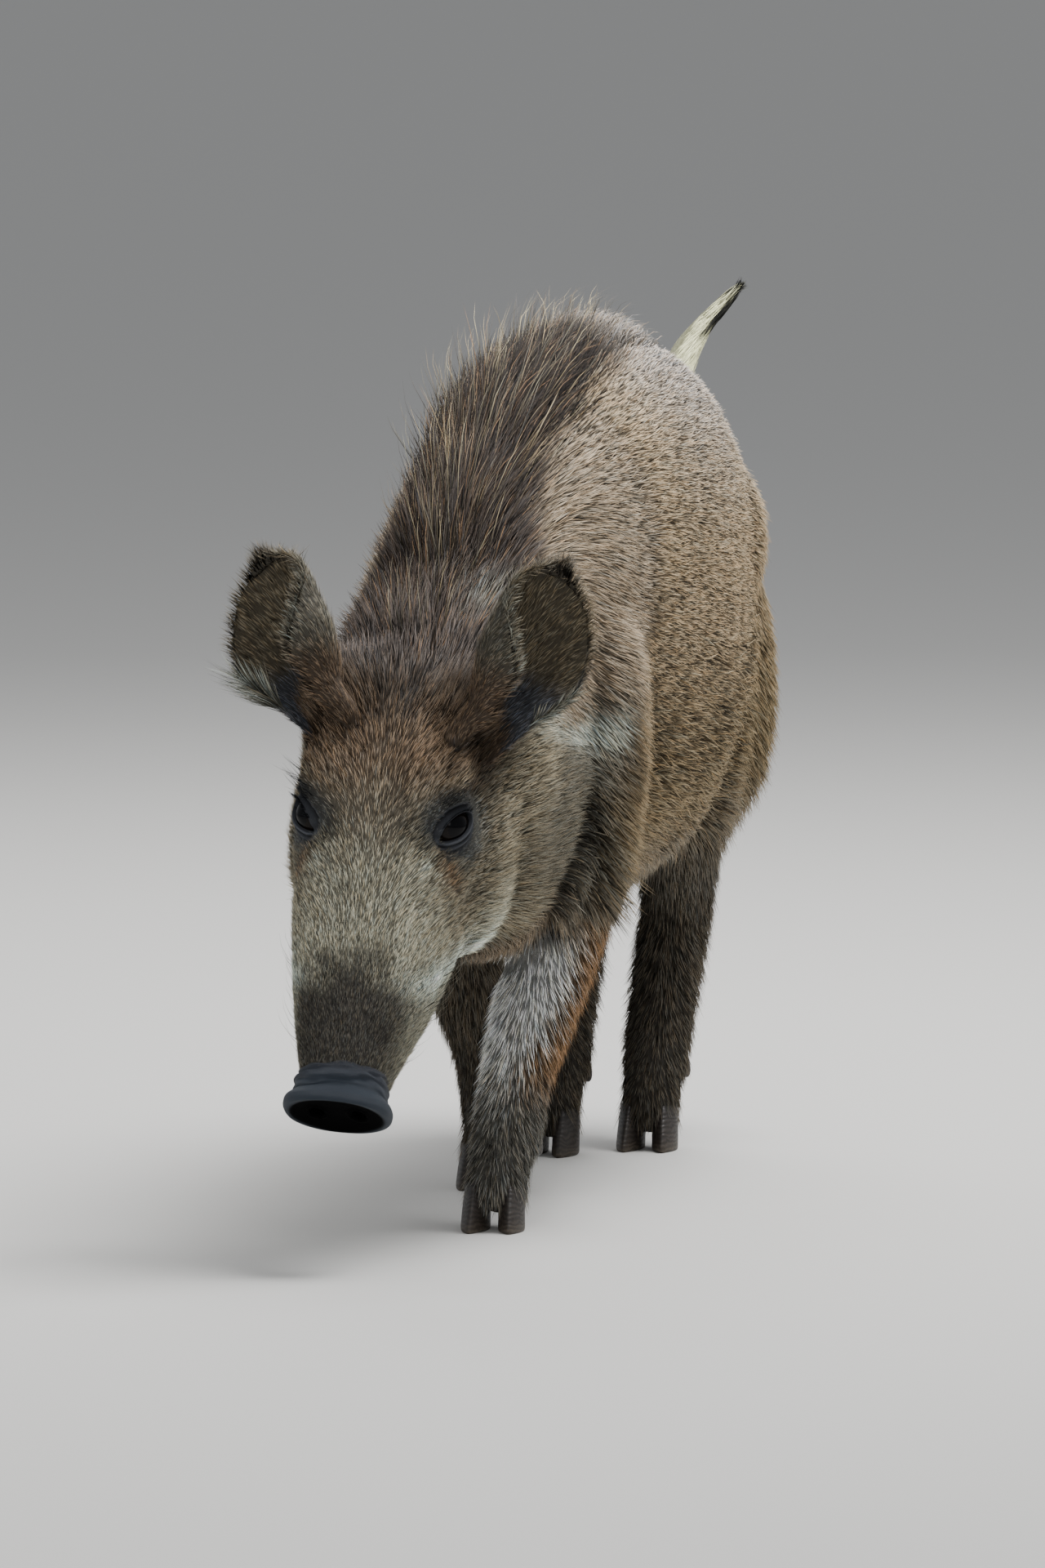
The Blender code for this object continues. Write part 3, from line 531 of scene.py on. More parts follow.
# %% Lay the lids
EYE_SLIT = (0.811, 0.561, -0.165)  # from the inner corner to the outer one, for the left eye
EYE_OUT = (-0.38, 0.72, 0.58)  # the way that the left eye looks
SOCKET = 0.0255  # radius of the opened hole
LID_LONG, LID_ABOVE, LID_BELOW = 0.0156, 0.0091, 0.0062  # half the opening's length, and its heights


def eye_axes(side):
    """Rows: along the slit, towards the upper lid and outwards, for the left (1) or right (-1) eye."""
    slit, out = unit([EYE_SLIT, EYE_OUT]) * (1, side, 1)
    slit, out = slit @ HEAD_AXES, out @ HEAD_AXES
    out = unit(out - slit * (out @ slit))
    lid = np.cross(out, slit)
    return np.array([slit, lid * np.sign(lid @ HEAD_UP), out])


def eye_coordinates(points, side):
    """Distances from an eyeball's middle: along the slit, towards the upper lid and outwards."""
    return (points - head_point(EYE.back, side * EYE.left, EYE.up)) @ eye_axes(side).T


def open_socket(bm, side):
    """Deletes the skin over an eye and returns the rim of the hole, as points in their order round it."""
    centres = np.array([face.calc_center_median() for face in bm.faces])
    a, c, d = eye_coordinates(centres, side).T
    inside = np.flatnonzero((np.hypot(a, c) < SOCKET) & (d > -0.010))
    bm.faces.ensure_lookup_table()
    bmesh.ops.delete(bm, geom=[bm.faces[i] for i in inside], context="FACES")
    rim = [edge for edge in bm.edges if len(edge.link_faces) == 1]
    loop, edge = [rim[0].verts[0]], rim[0]
    while True:
        vert = edge.other_vert(loop[-1])
        if vert is loop[0]:
            return loop
        loop.append(vert)
        edge = next(other for other in vert.link_edges if other is not edge and len(other.link_faces) == 1)


def lid_grid(rim, side, rows=24):
    """Rows from the rim of the hole over the lid's margin and in behind it, in the eye's own coordinates.

    In the plane, a point goes straight from the rim (q = 0) to the margin (q = 1), which is an almond:
    LID_LONG cos t along and LID_ABOVE or LID_BELOW times sin t |sin t|^0.2 across. Its depth is the soft
    maximum k ln(e^(face/k) + e^(ball/k)) of the face and of a ball over the eye, less the creases.
    """
    edge = eye_coordinates(rim, side)
    angle = np.arctan2(edge[:, 1], edge[:, 0])
    cos, sin = np.cos(angle), np.sin(angle)
    high = np.where(sin > 0, LID_ABOVE, LID_BELOW)
    margin = np.stack([LID_LONG * cos, high * sin * abs(sin) ** 0.2 - 0.0006 * ramp(-0.5, -1, cos)], -1)
    q = np.linspace(0, 1, rows + 1)[1:, None]
    go = 1 - (1 - q) ** 1.25
    plane = edge[None, :, :2] * (1 - go[..., None]) + margin[None] * go[..., None]
    r = np.linalg.norm(plane, axis=-1)
    face = mix(edge[None, :, 2], edge[:, 2].mean() + 0.0015, go**2)
    above = ramp(-0.15, 0.5, sin)[None]
    thick = 0.0018 + 0.0006 * above
    ball = np.sqrt(np.maximum((EYE.radius + thick) ** 2 - r**2, 1e-6))
    k = 0.0028
    depth = k * np.log(np.exp(face / k) + np.exp(ball / k))
    off = np.linalg.norm(plane - margin[None], axis=-1)  # distance from the margin
    middle = ramp(1.0, 0.6, abs(cos))[None]
    below = 1 - above
    depth -= above * middle * 0.0022 * bell(off, 0.0046, 0.0012)  # the fold over the upper lid
    depth += above * 0.0020 * bell(off, 0.0084, 0.0026)
    depth -= above * middle * 0.0010 * bell(off, 0.0118, 0.0011)
    depth += below * 0.0009 * bell(off, 0.0016, 0.0011)  # the roll of the lower lid and the folds under it
    depth -= below * 0.0015 * bell(off, 0.0040, 0.0010)
    depth += below * middle * 0.0007 * bell(off, 0.0062, 0.0013)
    depth -= below * middle * 0.0011 * bell(off, 0.0086, 0.0011)
    duct = ramp(-0.80, -0.98, cos)[None]  # the groove that runs on from the inner corner
    depth -= duct * 0.0028 * bell(off, 0.003, 0.0045)
    depth += 0.00012 * np.sin(angle * 34 + 900 * off) * ramp(0.0008, 0.003, off)
    depth = mix(edge[None, :, 2], depth, ramp(0, 0.45, q))
    lid = np.concatenate([plane, depth[..., None]], -1)
    behind = []
    for shrink, over in ((0.975, 0.0013), (0.945, 0.0004), (0.90, -0.0008)):
        inner = margin * shrink
        ball = np.sqrt(EYE.radius**2 - (inner**2).sum(axis=1))
        behind.append(np.concatenate([inner, (ball + over)[:, None]], -1))
    return np.concatenate([lid, np.array(behind)])


def lay_lids(mesh):
    """Opens the skin over both eyes and fills each hole with its lids, closed by a pole inside the ball."""
    for side in (1, -1):
        bm = bmesh.new()
        bm.from_mesh(mesh)
        loop = open_socket(bm, side)
        rim = np.array([vert.co for vert in loop])
        grid = lid_grid(rim, side)
        centre = head_point(EYE.back, side * EYE.left, EYE.up)
        world = centre + grid @ eye_axes(side)
        rows = [loop] + [[bm.verts.new(point) for point in row] for row in world]
        pole = bm.verts.new(centre)
        neighbours = [(j, (j + 1) % len(loop)) for j in range(len(loop))]
        for one, two in zip(rows, rows[1:]):
            for j, k in neighbours:
                bm.faces.new((one[j], one[k], two[k], two[j]))
        for j, k in neighbours:
            bm.faces.new((rows[-1][j], rows[-1][k], pole))
        bmesh.ops.recalc_face_normals(bm, faces=bm.faces)
        bm.to_mesh(mesh)
        bm.free()
        points = points_of(mesh)
        a, c, d = eye_coordinates(points, side).T
        r = np.hypot(a, c)
        share = ramp(0.0190, 0.0230, r) * ramp(0.037, 0.030, r) * (d > -0.016)
        set_points(mesh, relaxed(points, edges_of(mesh), 8, 0.5, share))


lay_lids(skin_mesh)
print("with lids:", len(skin_mesh.polygons), "faces")

# %% [markdown]
# ### Mouth and folds of the face
#
# The rest of the face is pressed in with smooth functions of the head's own coordinates: the line of the
# mouth, the hollow before the eye, the folds under it and the furrow between the brows. They could be
# sculpted, but a function says where each lies, and can be moved by one number.


# %% Press in the face
def press_face(points, normals):
    """Points moved along their normals by the sum of a few bumps and grooves on the head."""
    back, left, up = head_coordinates(points).T
    side = abs(left)
    on_face = ramp(0.33, 0.29, back) * ramp(-0.02, 0.0, back) * ramp(-0.15, -0.12, up)
    lip = -0.012 - 0.30 * back + 0.5 * back**2  # the mouth's height at each distance back
    mouth = bell(up, lip, 0.0030) * ramp(0.175, 0.15, back) * ramp(0.004, 0.012, back)
    mouth *= ramp(0.008, 0.016, side)
    upper_lip = bell(up, lip + 0.008, 0.006) * ramp(0.16, 0.12, back) * ramp(0.010, 0.025, back)
    hollow = bell(back, 0.176, 0.020) * bell(up, 0.022, 0.012) * bell(side, 0.048, 0.02)
    furrow = bell(left, 0.0, 0.010) * bell(back, 0.235, 0.045) * ramp(0.0, 0.03, up)
    bridge = bell(side, 0.030, 0.010) * bell(back, 0.115, 0.05) * ramp(0.0, 0.02, up)
    cheek = bell(back, 0.205, 0.030) * bell(up, -0.012, 0.013) * ramp(0.02, 0.04, side)
    level = up + 0.35 * (back - 0.2)  # the folds rise towards the eye
    folds = sum(bell(level, height, 0.0022) * bell(back, 0.192, 0.018) for height in (0.006, -0.002, -0.011))
    folds *= ramp(0.03, 0.045, side)
    move = (
        -0.0022 * mouth + 0.0014 * upper_lip - 0.0030 * hollow - 0.0022 * furrow
        + 0.0014 * bridge + 0.0022 * cheek - 0.0009 * folds
    )
    return points + normals * (move * on_face)[:, None]


def normals_of(mesh):
    """The outward direction at each point of a mesh, as an array."""
    normals = np.empty(len(mesh.vertices) * 3, np.float32)
    mesh.vertex_normals.foreach_get("vector", normals)
    return normals.reshape(-1, 3).astype(float)


def near_eye(points, radius):
    """1 on the skin round either eye's middle, falling softly to 0 at the radius."""
    found = np.zeros(len(points))
    for side in (1, -1):
        a, c, d = eye_coordinates(points, side).T
        found = np.maximum(found, ramp(radius, radius * 0.75, np.hypot(a, c)) * ramp(-0.012, -0.004, d))
    return found


flesh = points_of(skin_mesh)
pressed = press_face(flesh, normals_of(skin_mesh))
set_points(skin_mesh, mix(pressed, flesh, near_eye(flesh, 0.026)))

# %% [markdown]
# ### Ears and tail
#
# A boar's ear is thin gristle that rolls into a cup. It could be a cone with a side pushed in, but a leaf
# rolled round an arc keeps its thickness: rise runs from root to tip and across from edge to edge, and both
# faces lie half a thickness from the leaf. The tail is a thin tube. All start inside the body.

# %% Ears
EAR_ROOT = {1: (0.312, 0.072, 0.052), -1: (0.312, -0.060, 0.051)}  # left and right ear: back, left, up
EAR_LEAN = {1: unit((0.040, 0.025, 0.084)), -1: unit((-0.050, 0.025, 0.086))}
EAR_OPENS = {1: np.array([0.66, -0.75, 0.02]), -1: np.array([-0.34, -0.94, 0.02])}
EAR_LENGTH, EAR_WIDTH = 0.124, 0.084
EAR_SUNK, EAR_BOW = 0.022, 0.010  # how far the leaf starts below its root, and how far it bows back
EAR_RISES = (-0.3, 0.0, 0.2, 0.4, 0.6, 0.8, 0.9, 0.96, 0.99, 1.0)
EAR_SPREAD = (0.44, 0.52, 0.76, 0.95, 0.97, 0.81, 0.61, 0.40, 0.19, 0.03)


def ear_frame(side):
    """Root, way up the ear, way across it and the way that its hollow faces."""
    root, lean, opens = head_point(*EAR_ROOT[side]), EAR_LEAN[side], EAR_OPENS[side]
    opens = unit(opens - lean * (opens @ lean))
    return root, lean, np.cross(lean, opens) * side, opens


def ear_arc(rise):
    """Half angle and radius of the leaf's arc at each rise; the angle falls from 152 to 34 degrees."""
    width = EAR_WIDTH / 2 * smooth_between(EAR_RISES, EAR_SPREAD, np.ravel(rise)).reshape(np.shape(rise))
    curl = math.radians(118) * (1 - np.clip(rise, 0, 1)) ** 1.1 + math.radians(34)
    return curl, width / np.sin(np.minimum(curl, math.pi / 2))


def rear_share(rise):
    """Share of the arc that the rear half of the leaf takes up: it lies more open at the root."""
    return 1 - 0.32 * ramp(0.6, 0.1, rise)


def ear_surface(side, rise, across, layer):
    """Points of an ear, layer 1 on the hollow's face and -1 on the back.

    At each rise the leaf is an arc whose half chord is the leaf's half width. Its front edge, at across -1,
    rolls 30 % further round than the arc. The thickness falls from 4.4 mm at the root to 2 mm at the tip,
    and by a third towards both edges. Low ridges run up the hollow.
    """
    root, lean, sideways, opens = ear_frame(side)
    curl, radius = ear_arc(rise)
    roll = 1 + 0.30 * ramp(0, -1, across) * ramp(0.0, 0.3, rise)
    angle = across * curl * np.where(across < 0, roll, mix(1.0, rear_share(rise), across))
    angle = angle / (1 + (angle / 3.1) ** 6) ** (1 / 6)
    lift = EAR_LENGTH * rise * (1 - 0.10 * across**2 * abs(rise)) - EAR_SUNK
    bow = EAR_BOW * np.sin(math.pi * rise)
    middle = (
        lift[..., None] * lean
        + (radius * np.sin(angle))[..., None] * sideways
        + (radius * (1 - np.cos(angle)) - bow - 0.12 * np.maximum(-rise, 0))[..., None] * opens
    )
    inward = np.cos(angle)[..., None] * opens - np.sin(angle)[..., None] * sideways
    half = (0.0022 - 0.0012 * rise) * (1 - 0.35 * across**2)
    ridges = 0.0010 * np.cos(across * 9) * ramp(0.95, 0.5, rise) * ramp(0.95, 0.6, abs(across)) * (layer > 0)
    wave = 0.0012 * np.sin(rise * 9 + across * 2) * ramp(0.5, 1, abs(across))
    return root + middle + inward * (layer * half + ridges + wave)[..., None]


def ear_coordinates(points, side):
    """Rise, angle round the arc, depth into the hollow, and the half angle of the arc there.

    The angle is negative in front, and the depth is negative on the back of the ear.
    """
    root, lean, sideways, opens = ear_frame(side)
    offset = points - root
    rise = (offset @ lean + EAR_SUNK) / EAR_LENGTH
    curl, radius = ear_arc(np.clip(rise, 0, 1))
    across = offset @ sideways
    in_front = radius - offset @ opens - EAR_BOW * np.sin(math.pi * np.clip(rise, 0, 1))
    angle = np.arctan2(across, in_front)
    half_angle = np.where(angle > 0, curl * rear_share(rise), curl)
    return rise, angle, radius - np.hypot(across, in_front), half_angle


def ear(side, rows=56, columns=34):
    """A closed ear: round each row the points go over the back and return through the hollow."""
    t = np.linspace(-1, 1, columns)
    across = np.concatenate([t, t[::-1][1:-1] * 0.985])
    swell = np.sin(np.linspace(0, math.pi, columns)) ** 0.25
    layer = np.concatenate([-swell, swell[1:-1]])
    rise, across = np.meshgrid(1.3 * np.sin(np.linspace(0, math.pi / 2, rows)) - 0.3, across, indexing="ij")
    grid = ear_surface(side, rise, across, np.broadcast_to(layer, rise.shape))
    return tube_mesh(grid, flip=side > 0)


# %% Tail
TAIL = (
    (0.000, 0.262, 0.522, 0.0130, 0.0130, 0.0130, 2.0),
    (-0.003, 0.298, 0.553, 0.0102, 0.0102, 0.0102, 2.0),
    (0.001, 0.330, 0.580, 0.0082, 0.0082, 0.0082, 2.0),
    (0.016, 0.355, 0.604, 0.0066, 0.0066, 0.0066, 2.0),
    (0.030, 0.369, 0.621, 0.0040, 0.0040, 0.0040, 2.0),
)


def with_islands(mesh, *parts):
    """The mesh with more closed parts added to it, as one new mesh."""
    bm = bmesh.new()
    bm.from_mesh(mesh)
    extra = bpy.data.meshes.new("extra")
    fill_mesh(extra, *join(*parts))
    bm.from_mesh(extra)
    bm.to_mesh(mesh)
    bm.free()
    bpy.data.meshes.remove(extra)
    mesh.polygons.foreach_set("use_smooth", np.ones(len(mesh.polygons), bool))
    mesh.update()


islands = [ear(1), ear(-1), tube(shifted(TAIL), SIDEWAYS, sides=20, steps=6)]
with_islands(skin_mesh, *islands)
skin = bpy.data.objects.new("skin", skin_mesh)
bpy.context.scene.collection.objects.link(skin)
print("skin:", len(skin_mesh.polygons), "faces,", len(skin_mesh.vertices), "points")

# %% [markdown]
# ## Markings
#
# One function gives the colour of the coat at any place, and a second the way it lies. Both work from the
# boar's own measures: how far along the spine, how far round the trunk, how far down a leg. An image would
# need the whole body unwrapped, but the skin and every tuft can ask these functions, and so they agree.

# %% Where on the body
BODY, LEFT_EAR, RIGHT_EAR, TAIL_PART = 0, 1, 2, 3
EARS = ((LEFT_EAR, 1), (RIGHT_EAR, -1))  # each ear's code and side
torso = shifted(TORSO)[::-1]  # from the neck to the rump, so that y rises


def torso_ring(y):
    """The x and height of the trunk's middle, its reach to the side and its reach up, at each y."""
    rows = smooth_between(torso[:, 1], torso, np.clip(y, torso[0, 1], torso[-1, 1]))
    return rows[:, 0], rows[:, 2], rows[:, 3], rows[:, 4]


def places(points, part):
    """Named measures of each point, used by all the markings.

    round is the angle from the spine's ridge round the trunk, in degrees, and spine is y in plan. back, left
    and up are the head's own coordinates. head and leg are shares from 0 to 1 that say how far a point
    belongs to them; fore, left_side, ear and tail are true or false.
    """
    x, y, z = points.T
    middle, height, side, up = torso_ring(y)
    back, left, up_head = head_coordinates(points).T
    found = SimpleNamespace(points=points, part=part, x=x, y=y, z=z, spine=y - SHIFT[1])
    found.round = np.degrees(np.arctan2(abs(x - middle) / side, (z - height) / up))
    found.back, found.left, found.up = back, left, up_head
    found.head = ramp(0.350, 0.290, back + 0.15 * up_head) * ramp(-0.155, -0.125, up_head)
    found.leg = ramp(0.275, 0.205, z) * (1 - found.head) * (found.spine > -0.42)
    found.fore = found.spine < -0.05
    found.left_side = x > SHIFT[0]
    found.ear = (part == LEFT_EAR) | (part == RIGHT_EAR)
    found.tail = part == TAIL_PART
    return found


# %% Colours of the coat, as linear RGB
COAT = SimpleNamespace(
    flank=(0.401, 0.304, 0.188),
    loin=(0.386, 0.343, 0.300),
    low_flank=(0.237, 0.181, 0.105),
    belly=(0.185, 0.150, 0.100),
    shoulder=(0.356, 0.284, 0.201),
    mane=(0.027, 0.022, 0.019),
    mane_streak=(0.230, 0.147, 0.087),
    neck=(0.285, 0.272, 0.222),
    neck_dark_and_shade=(0.130, 0.120, 0.095),
    brisket=(0.211, 0.167, 0.119),
    pale=(0.679, 0.745, 0.647),
    forehead=(0.061, 0.049, 0.037),
    nape=(0.137, 0.121, 0.112),
    forehead_rust=(0.302, 0.208, 0.135),
    rust=(0.30, 0.165, 0.080),
    midface=(0.471, 0.446, 0.335),
    cheek=(0.307, 0.268, 0.189),
    low_cheek=(0.504, 0.490, 0.378),
    muzzle=(0.286, 0.274, 0.211),
    saddle=(0.091, 0.083, 0.069),
    eye_ring=(0.100, 0.104, 0.100),
    eye_hollow_shade=(0.064, 0.060, 0.050),
    eye_rim=(0.34, 0.345, 0.310),
    brow=(0.42, 0.340, 0.225),
    leg=(0.176, 0.166, 0.142),
    leg_black=(0.108, 0.093, 0.071),
    leg_silver=(0.946, 0.946, 0.880),
    leg_rust=(0.310, 0.172, 0.080),
    ear_back=(0.121, 0.110, 0.092),
    ear_fold=(0.198, 0.180, 0.138),
    ear_inside=(0.203, 0.168, 0.111),
    ear_bare=(0.120, 0.125, 0.140),
    ear_rim=(0.150, 0.142, 0.130),
    tail=(0.872, 0.865, 0.549),
    tail_dark=(0.040, 0.040, 0.036),
    bare=(0.042, 0.045, 0.053),
    bare_roll_highlight=(0.110, 0.120, 0.140),
)


MANE = (  # places along the spine, and how far the mane reaches down from the ridge there, in degrees
    (-0.46, -0.41, -0.37, -0.33, -0.26, -0.16, -0.05, 0.10, 0.2),
    (66, 54, 36, 27, 20, 17, 19, 13, 4),
)


def mane_share(at):
    """How much a place belongs to the dark mane: inside an angle round the trunk that narrows to the rear."""
    reach = np.interp(at.spine, *MANE)
    wander = 4 * ripple(at.points, 0.06, 3)
    return ramp(reach + 10, reach - 8, at.round + wander) * ramp(0.05, -0.05, at.spine)


def mane_tone(spine):
    """The mane's colour at each place along the spine: greyer on the neck, darkest over the shoulders."""
    return np.array(COAT.mane) * mix(3.3, 0.95, ramp(-0.45, -0.22, spine))[:, None]


def eye_marks(at, colour):
    """The marks round each eye, one over the other.

    They are painted shade in the hollow before the eye, the dark ring, the pale rim outside it, the streak of
    the brow, the dark and the rust below, painted shade in the crease at the inner corner and a pale spot in
    front of it.
    """
    for side in (1, -1):
        a, c, d = eye_coordinates(at.points, side).T
        near, r = ramp(-0.022, -0.010, d), np.maximum(np.hypot(a, c), 1e-6)
        # Painted shade in the hollow before the eye.
        hollow = bell(a, -0.025, 0.014) * bell(c, 0.010, 0.018) * near
        colour = mix(colour, COAT.eye_hollow_shade, 0.8 * hollow)
        ring = ramp(1.20, 0.86, np.hypot((a + 0.002) / 0.0250, (c - 0.003) / 0.0235)) * near
        colour = mix(colour, COAT.eye_ring, 0.88 * ring)
        rim = bell(r, 0.0255, 0.0034) * ramp(0.25, 0.8, (0.6 * a - 0.8 * c) / r) * near
        colour = mix(colour, COAT.eye_rim, 0.8 * rim)
        brow = bell(c + 0.25 * (a - 0.018), 0.0250, 0.0034) * bell(a, 0.017, 0.009) * near
        colour = mix(colour, COAT.brow, 0.85 * brow)
        colour = mix(colour, COAT.eye_ring, 0.9 * bell(a, -0.004, 0.015) * bell(c, -0.0235, 0.0080) * near)
        colour = mix(colour, COAT.rust, 0.75 * bell(a, -0.0275, 0.0058) * bell(c, -0.0220, 0.0135) * near)
        # Painted shade in the crease at the inner corner.
        crease = 0.75 * bell(c - 0.45 * a, 0.0040, 0.0030) * bell(a, -0.0225, 0.0060) * near
        colour = colour * (1 - crease)[:, None]
        colour = mix(colour, COAT.pale, 0.55 * bell(a, -0.0430, 0.0050) * bell(c, -0.0062, 0.0050) * near)
    return colour


def face_colour(at):
    """Colours of the head, from its back to its front.

    The forehead is dark with rust, some of it down the bridge, and the middle is pale, with painted shade in
    the folds of the cheek and under the jaw. A pale stripe runs along the mouth with painted shade below it,
    and a dark saddle lies behind the disc.
    """
    side = abs(at.left)
    wander = 0.007 * ripple(at.points, 0.03, 7) + 0.004 * ripple(at.points, 0.009, 8)
    colour = mix(COAT.midface, COAT.cheek, ramp(0.026, 0.056, side) * ramp(0.10, 0.17, at.back))
    colour = mix(colour, COAT.cheek, ramp(0.012, -0.02, at.up))
    colour = mix(colour, COAT.low_cheek, ramp(-0.012, -0.055, at.up) * ramp(0.215, 0.175, at.back))
    # Painted shadow under the back of the jaw.
    colour = mix(colour, COAT.neck_dark_and_shade, 0.75 * ramp(0.200, 0.255, at.back) * ramp(-0.035, -0.075, at.up))
    colour = mix(colour, COAT.muzzle, ramp(0.125, 0.090, at.back) * ramp(0.03, 0.01, at.up))
    dark = ramp(0.195, 0.285, at.back + wander + 0.35 * side)
    colour = mix(colour, COAT.forehead, dark * ramp(-0.02, 0.03, at.up))
    rusty = bell(at.back, 0.246, 0.036) * bell(side, 0.018, 0.042) * ramp(0.02, 0.04, at.up)
    colour = mix(colour, COAT.forehead_rust, 0.85 * rusty)
    bridge = bell(at.back, 0.200, 0.028) * bell(side, 0.010, 0.022) * ramp(0.02, 0.04, at.up)
    colour = mix(colour, COAT.forehead_rust, 0.38 * bridge)
    nape = ramp(0.295, 0.345, at.back + wander) * ramp(0.055, 0.030, side) * ramp(0.0, 0.03, at.up)
    colour = mix(colour, COAT.nape, nape)
    saddle = ramp(0.116, 0.080, at.back + 2.2 * wander + 9 * (at.left + 0.002) ** 2)
    saddle = saddle * ramp(0.002, 0.026, at.up + wander) * ramp(0.056, 0.034, side)
    colour = mix(colour, COAT.saddle, saddle)
    colour = mix(colour, COAT.saddle, 0.7 * ramp(0.055, 0.030, at.back + wander) * ramp(-0.025, 0.01, at.up))
    line = -0.001 - 0.98 * (at.back - 0.10) + 0.006 * ripple(at.points, 0.02, 13)
    stripe = bell(at.up, line, 0.0165) * ramp(0.070, 0.100, at.back) * ramp(0.190, 0.155, at.back)
    # Painted shade below the pale stripe, along the jaw.
    under = 0.85 * ramp(line - 0.010, line - 0.024, at.up) * ramp(0.105, 0.135, at.back)
    colour = mix(colour, COAT.neck_dark_and_shade, under)
    colour = mix(colour, COAT.pale, 0.85 * stripe * ramp(0.024, 0.036, side))
    chin = ramp(-0.02, -0.05, at.up) * ramp(0.16, 0.10, at.back)
    level = at.up + 0.35 * (at.back - 0.2) + 0.0015 * ripple(at.points, 0.012, 15)
    # Painted shade in the folds of the cheek, which are also pressed into the skin.
    folds = sum(bell(level, height, 0.0020) for height in (0.007, -0.001, -0.010, -0.019))
    colour = colour * (1 - 0.32 * folds * bell(at.back, 0.170, 0.030) * ramp(0.026, 0.040, side))[:, None]
    return eye_marks(at, mix(colour, COAT.neck, 0.6 * chin))


OUT_X, OUT_Y = 0.97, 0.24  # a direction in plan, outwards on the left side and a little to the rear


def leg_colour(at):
    """Colours of a leg: dark, a little grey at the top of the left hind leg. The right legs are dark all
    over, partly their own colour and partly painted shade on the side away from the light.

    The left foreleg is grey-brown, and its forearm has a silver front with a rust edge at its outer rear.
    u runs across the leg outwards and a little to the rear, from about -1 to 1, and w forwards, square to
    it. r is the distance from the leg's middle.
    """
    which = np.select([at.fore & at.left_side, at.fore, at.left_side], [0, 1, 2], 3)  # in the order of LEGS
    u, w, r = np.zeros((3, len(at.x)))
    for k, rings in enumerate(LEGS.values()):
        rows = shifted(rings)[::-1]
        chosen = which == k
        axis = np.stack([np.interp(at.z[chosen], rows[:, 2], rows[:, c]) for c in (0, 1)], -1)
        x, y = at.x[chosen] - axis[:, 0], at.y[chosen] - axis[:, 1]
        u[chosen] = (OUT_X * x + OUT_Y * y) / 0.030
        w[chosen] = OUT_Y * x - OUT_X * y
        r[chosen] = np.hypot(x, y)
    near = which == 0
    # The right legs keep leg_black all over: partly their own colour, partly painted shade.
    grey = np.select([near, which == 2], [1.0, 0.45 * ramp(0.16, 0.24, at.z)], 0.0)
    colour = mix(COAT.leg_black, COAT.leg, grey)
    colour = mix(colour, COAT.brisket, near * ramp(0.185, 0.205, at.z))
    edge = np.interp(at.z, (0.110, 0.125, 0.150, 0.180, 0.200), (0.00, 0.15, 0.45, 0.50, 0.45))
    edge = edge + 0.12 * ripple(at.points, 0.012, 23)
    silver = near * ramp(edge + 0.22, edge - 0.22, u)
    silver *= ramp(0.070, 0.150, at.z + 0.02 * ripple(at.points, 0.012, 29))
    silver = silver * ramp(0.225, 0.195, at.z) * ramp(-0.014, 0.0, w) * ramp(0.060, 0.046, r)
    rust = near * ramp(edge - 0.40, edge + 0.25, u + 0.25 * ripple(at.points, 0.010, 27))
    rust = rust * ramp(0.085, 0.130, at.z) * ramp(0.240, 0.205, at.z) * ramp(0.075, 0.055, r)
    return mix(mix(colour, COAT.leg_silver, 0.9 * silver), COAT.leg_rust, 0.84 * rust)


def ear_colour(at):
    """A furry grey-brown fold in front, frosting on the rim, a dark hollow that is bare at its bottom."""
    found = np.zeros((len(at.x), 3))
    at_root = mix(COAT.forehead, COAT.forehead_rust, 0.5)
    for code, side in EARS:
        rise, angle, depth, curl = ear_coordinates(at.points, side)
        outer = mix(COAT.ear_back, COAT.ear_fold, ramp(-0.7, -1.2, angle))
        outer = mix(outer, at_root, ramp(0.32, 0.10, rise))
        inner = mix(COAT.ear_inside, COAT.ear_bare, ramp(0.36, 0.20, rise))
        inner = mix(inner, COAT.ear_fold, ramp(-1.1, -1.6, angle))
        inner = mix(inner, at_root, ramp(0.36, 0.16, rise) * ramp(-0.5, -1.0, angle))
        colour = mix(outer, inner, ramp(-0.0005, 0.0006, depth))
        rim = np.maximum(ramp(0.86, 1.0, angle / curl), 0.8 * ramp(0.80, 0.97, rise))
        colour = mix(colour, COAT.ear_rim, 0.6 * rim)
        found = np.where((at.part == code)[:, None], colour, found)
    return found


CREASE = (  # heights on the crease between shoulder and neck, and where along the spine it lies there
    (0.27, 0.328, 0.368, 0.40, 0.43, 0.50),
    (-0.262, -0.271, -0.281, -0.24, -0.19, -0.15),
)


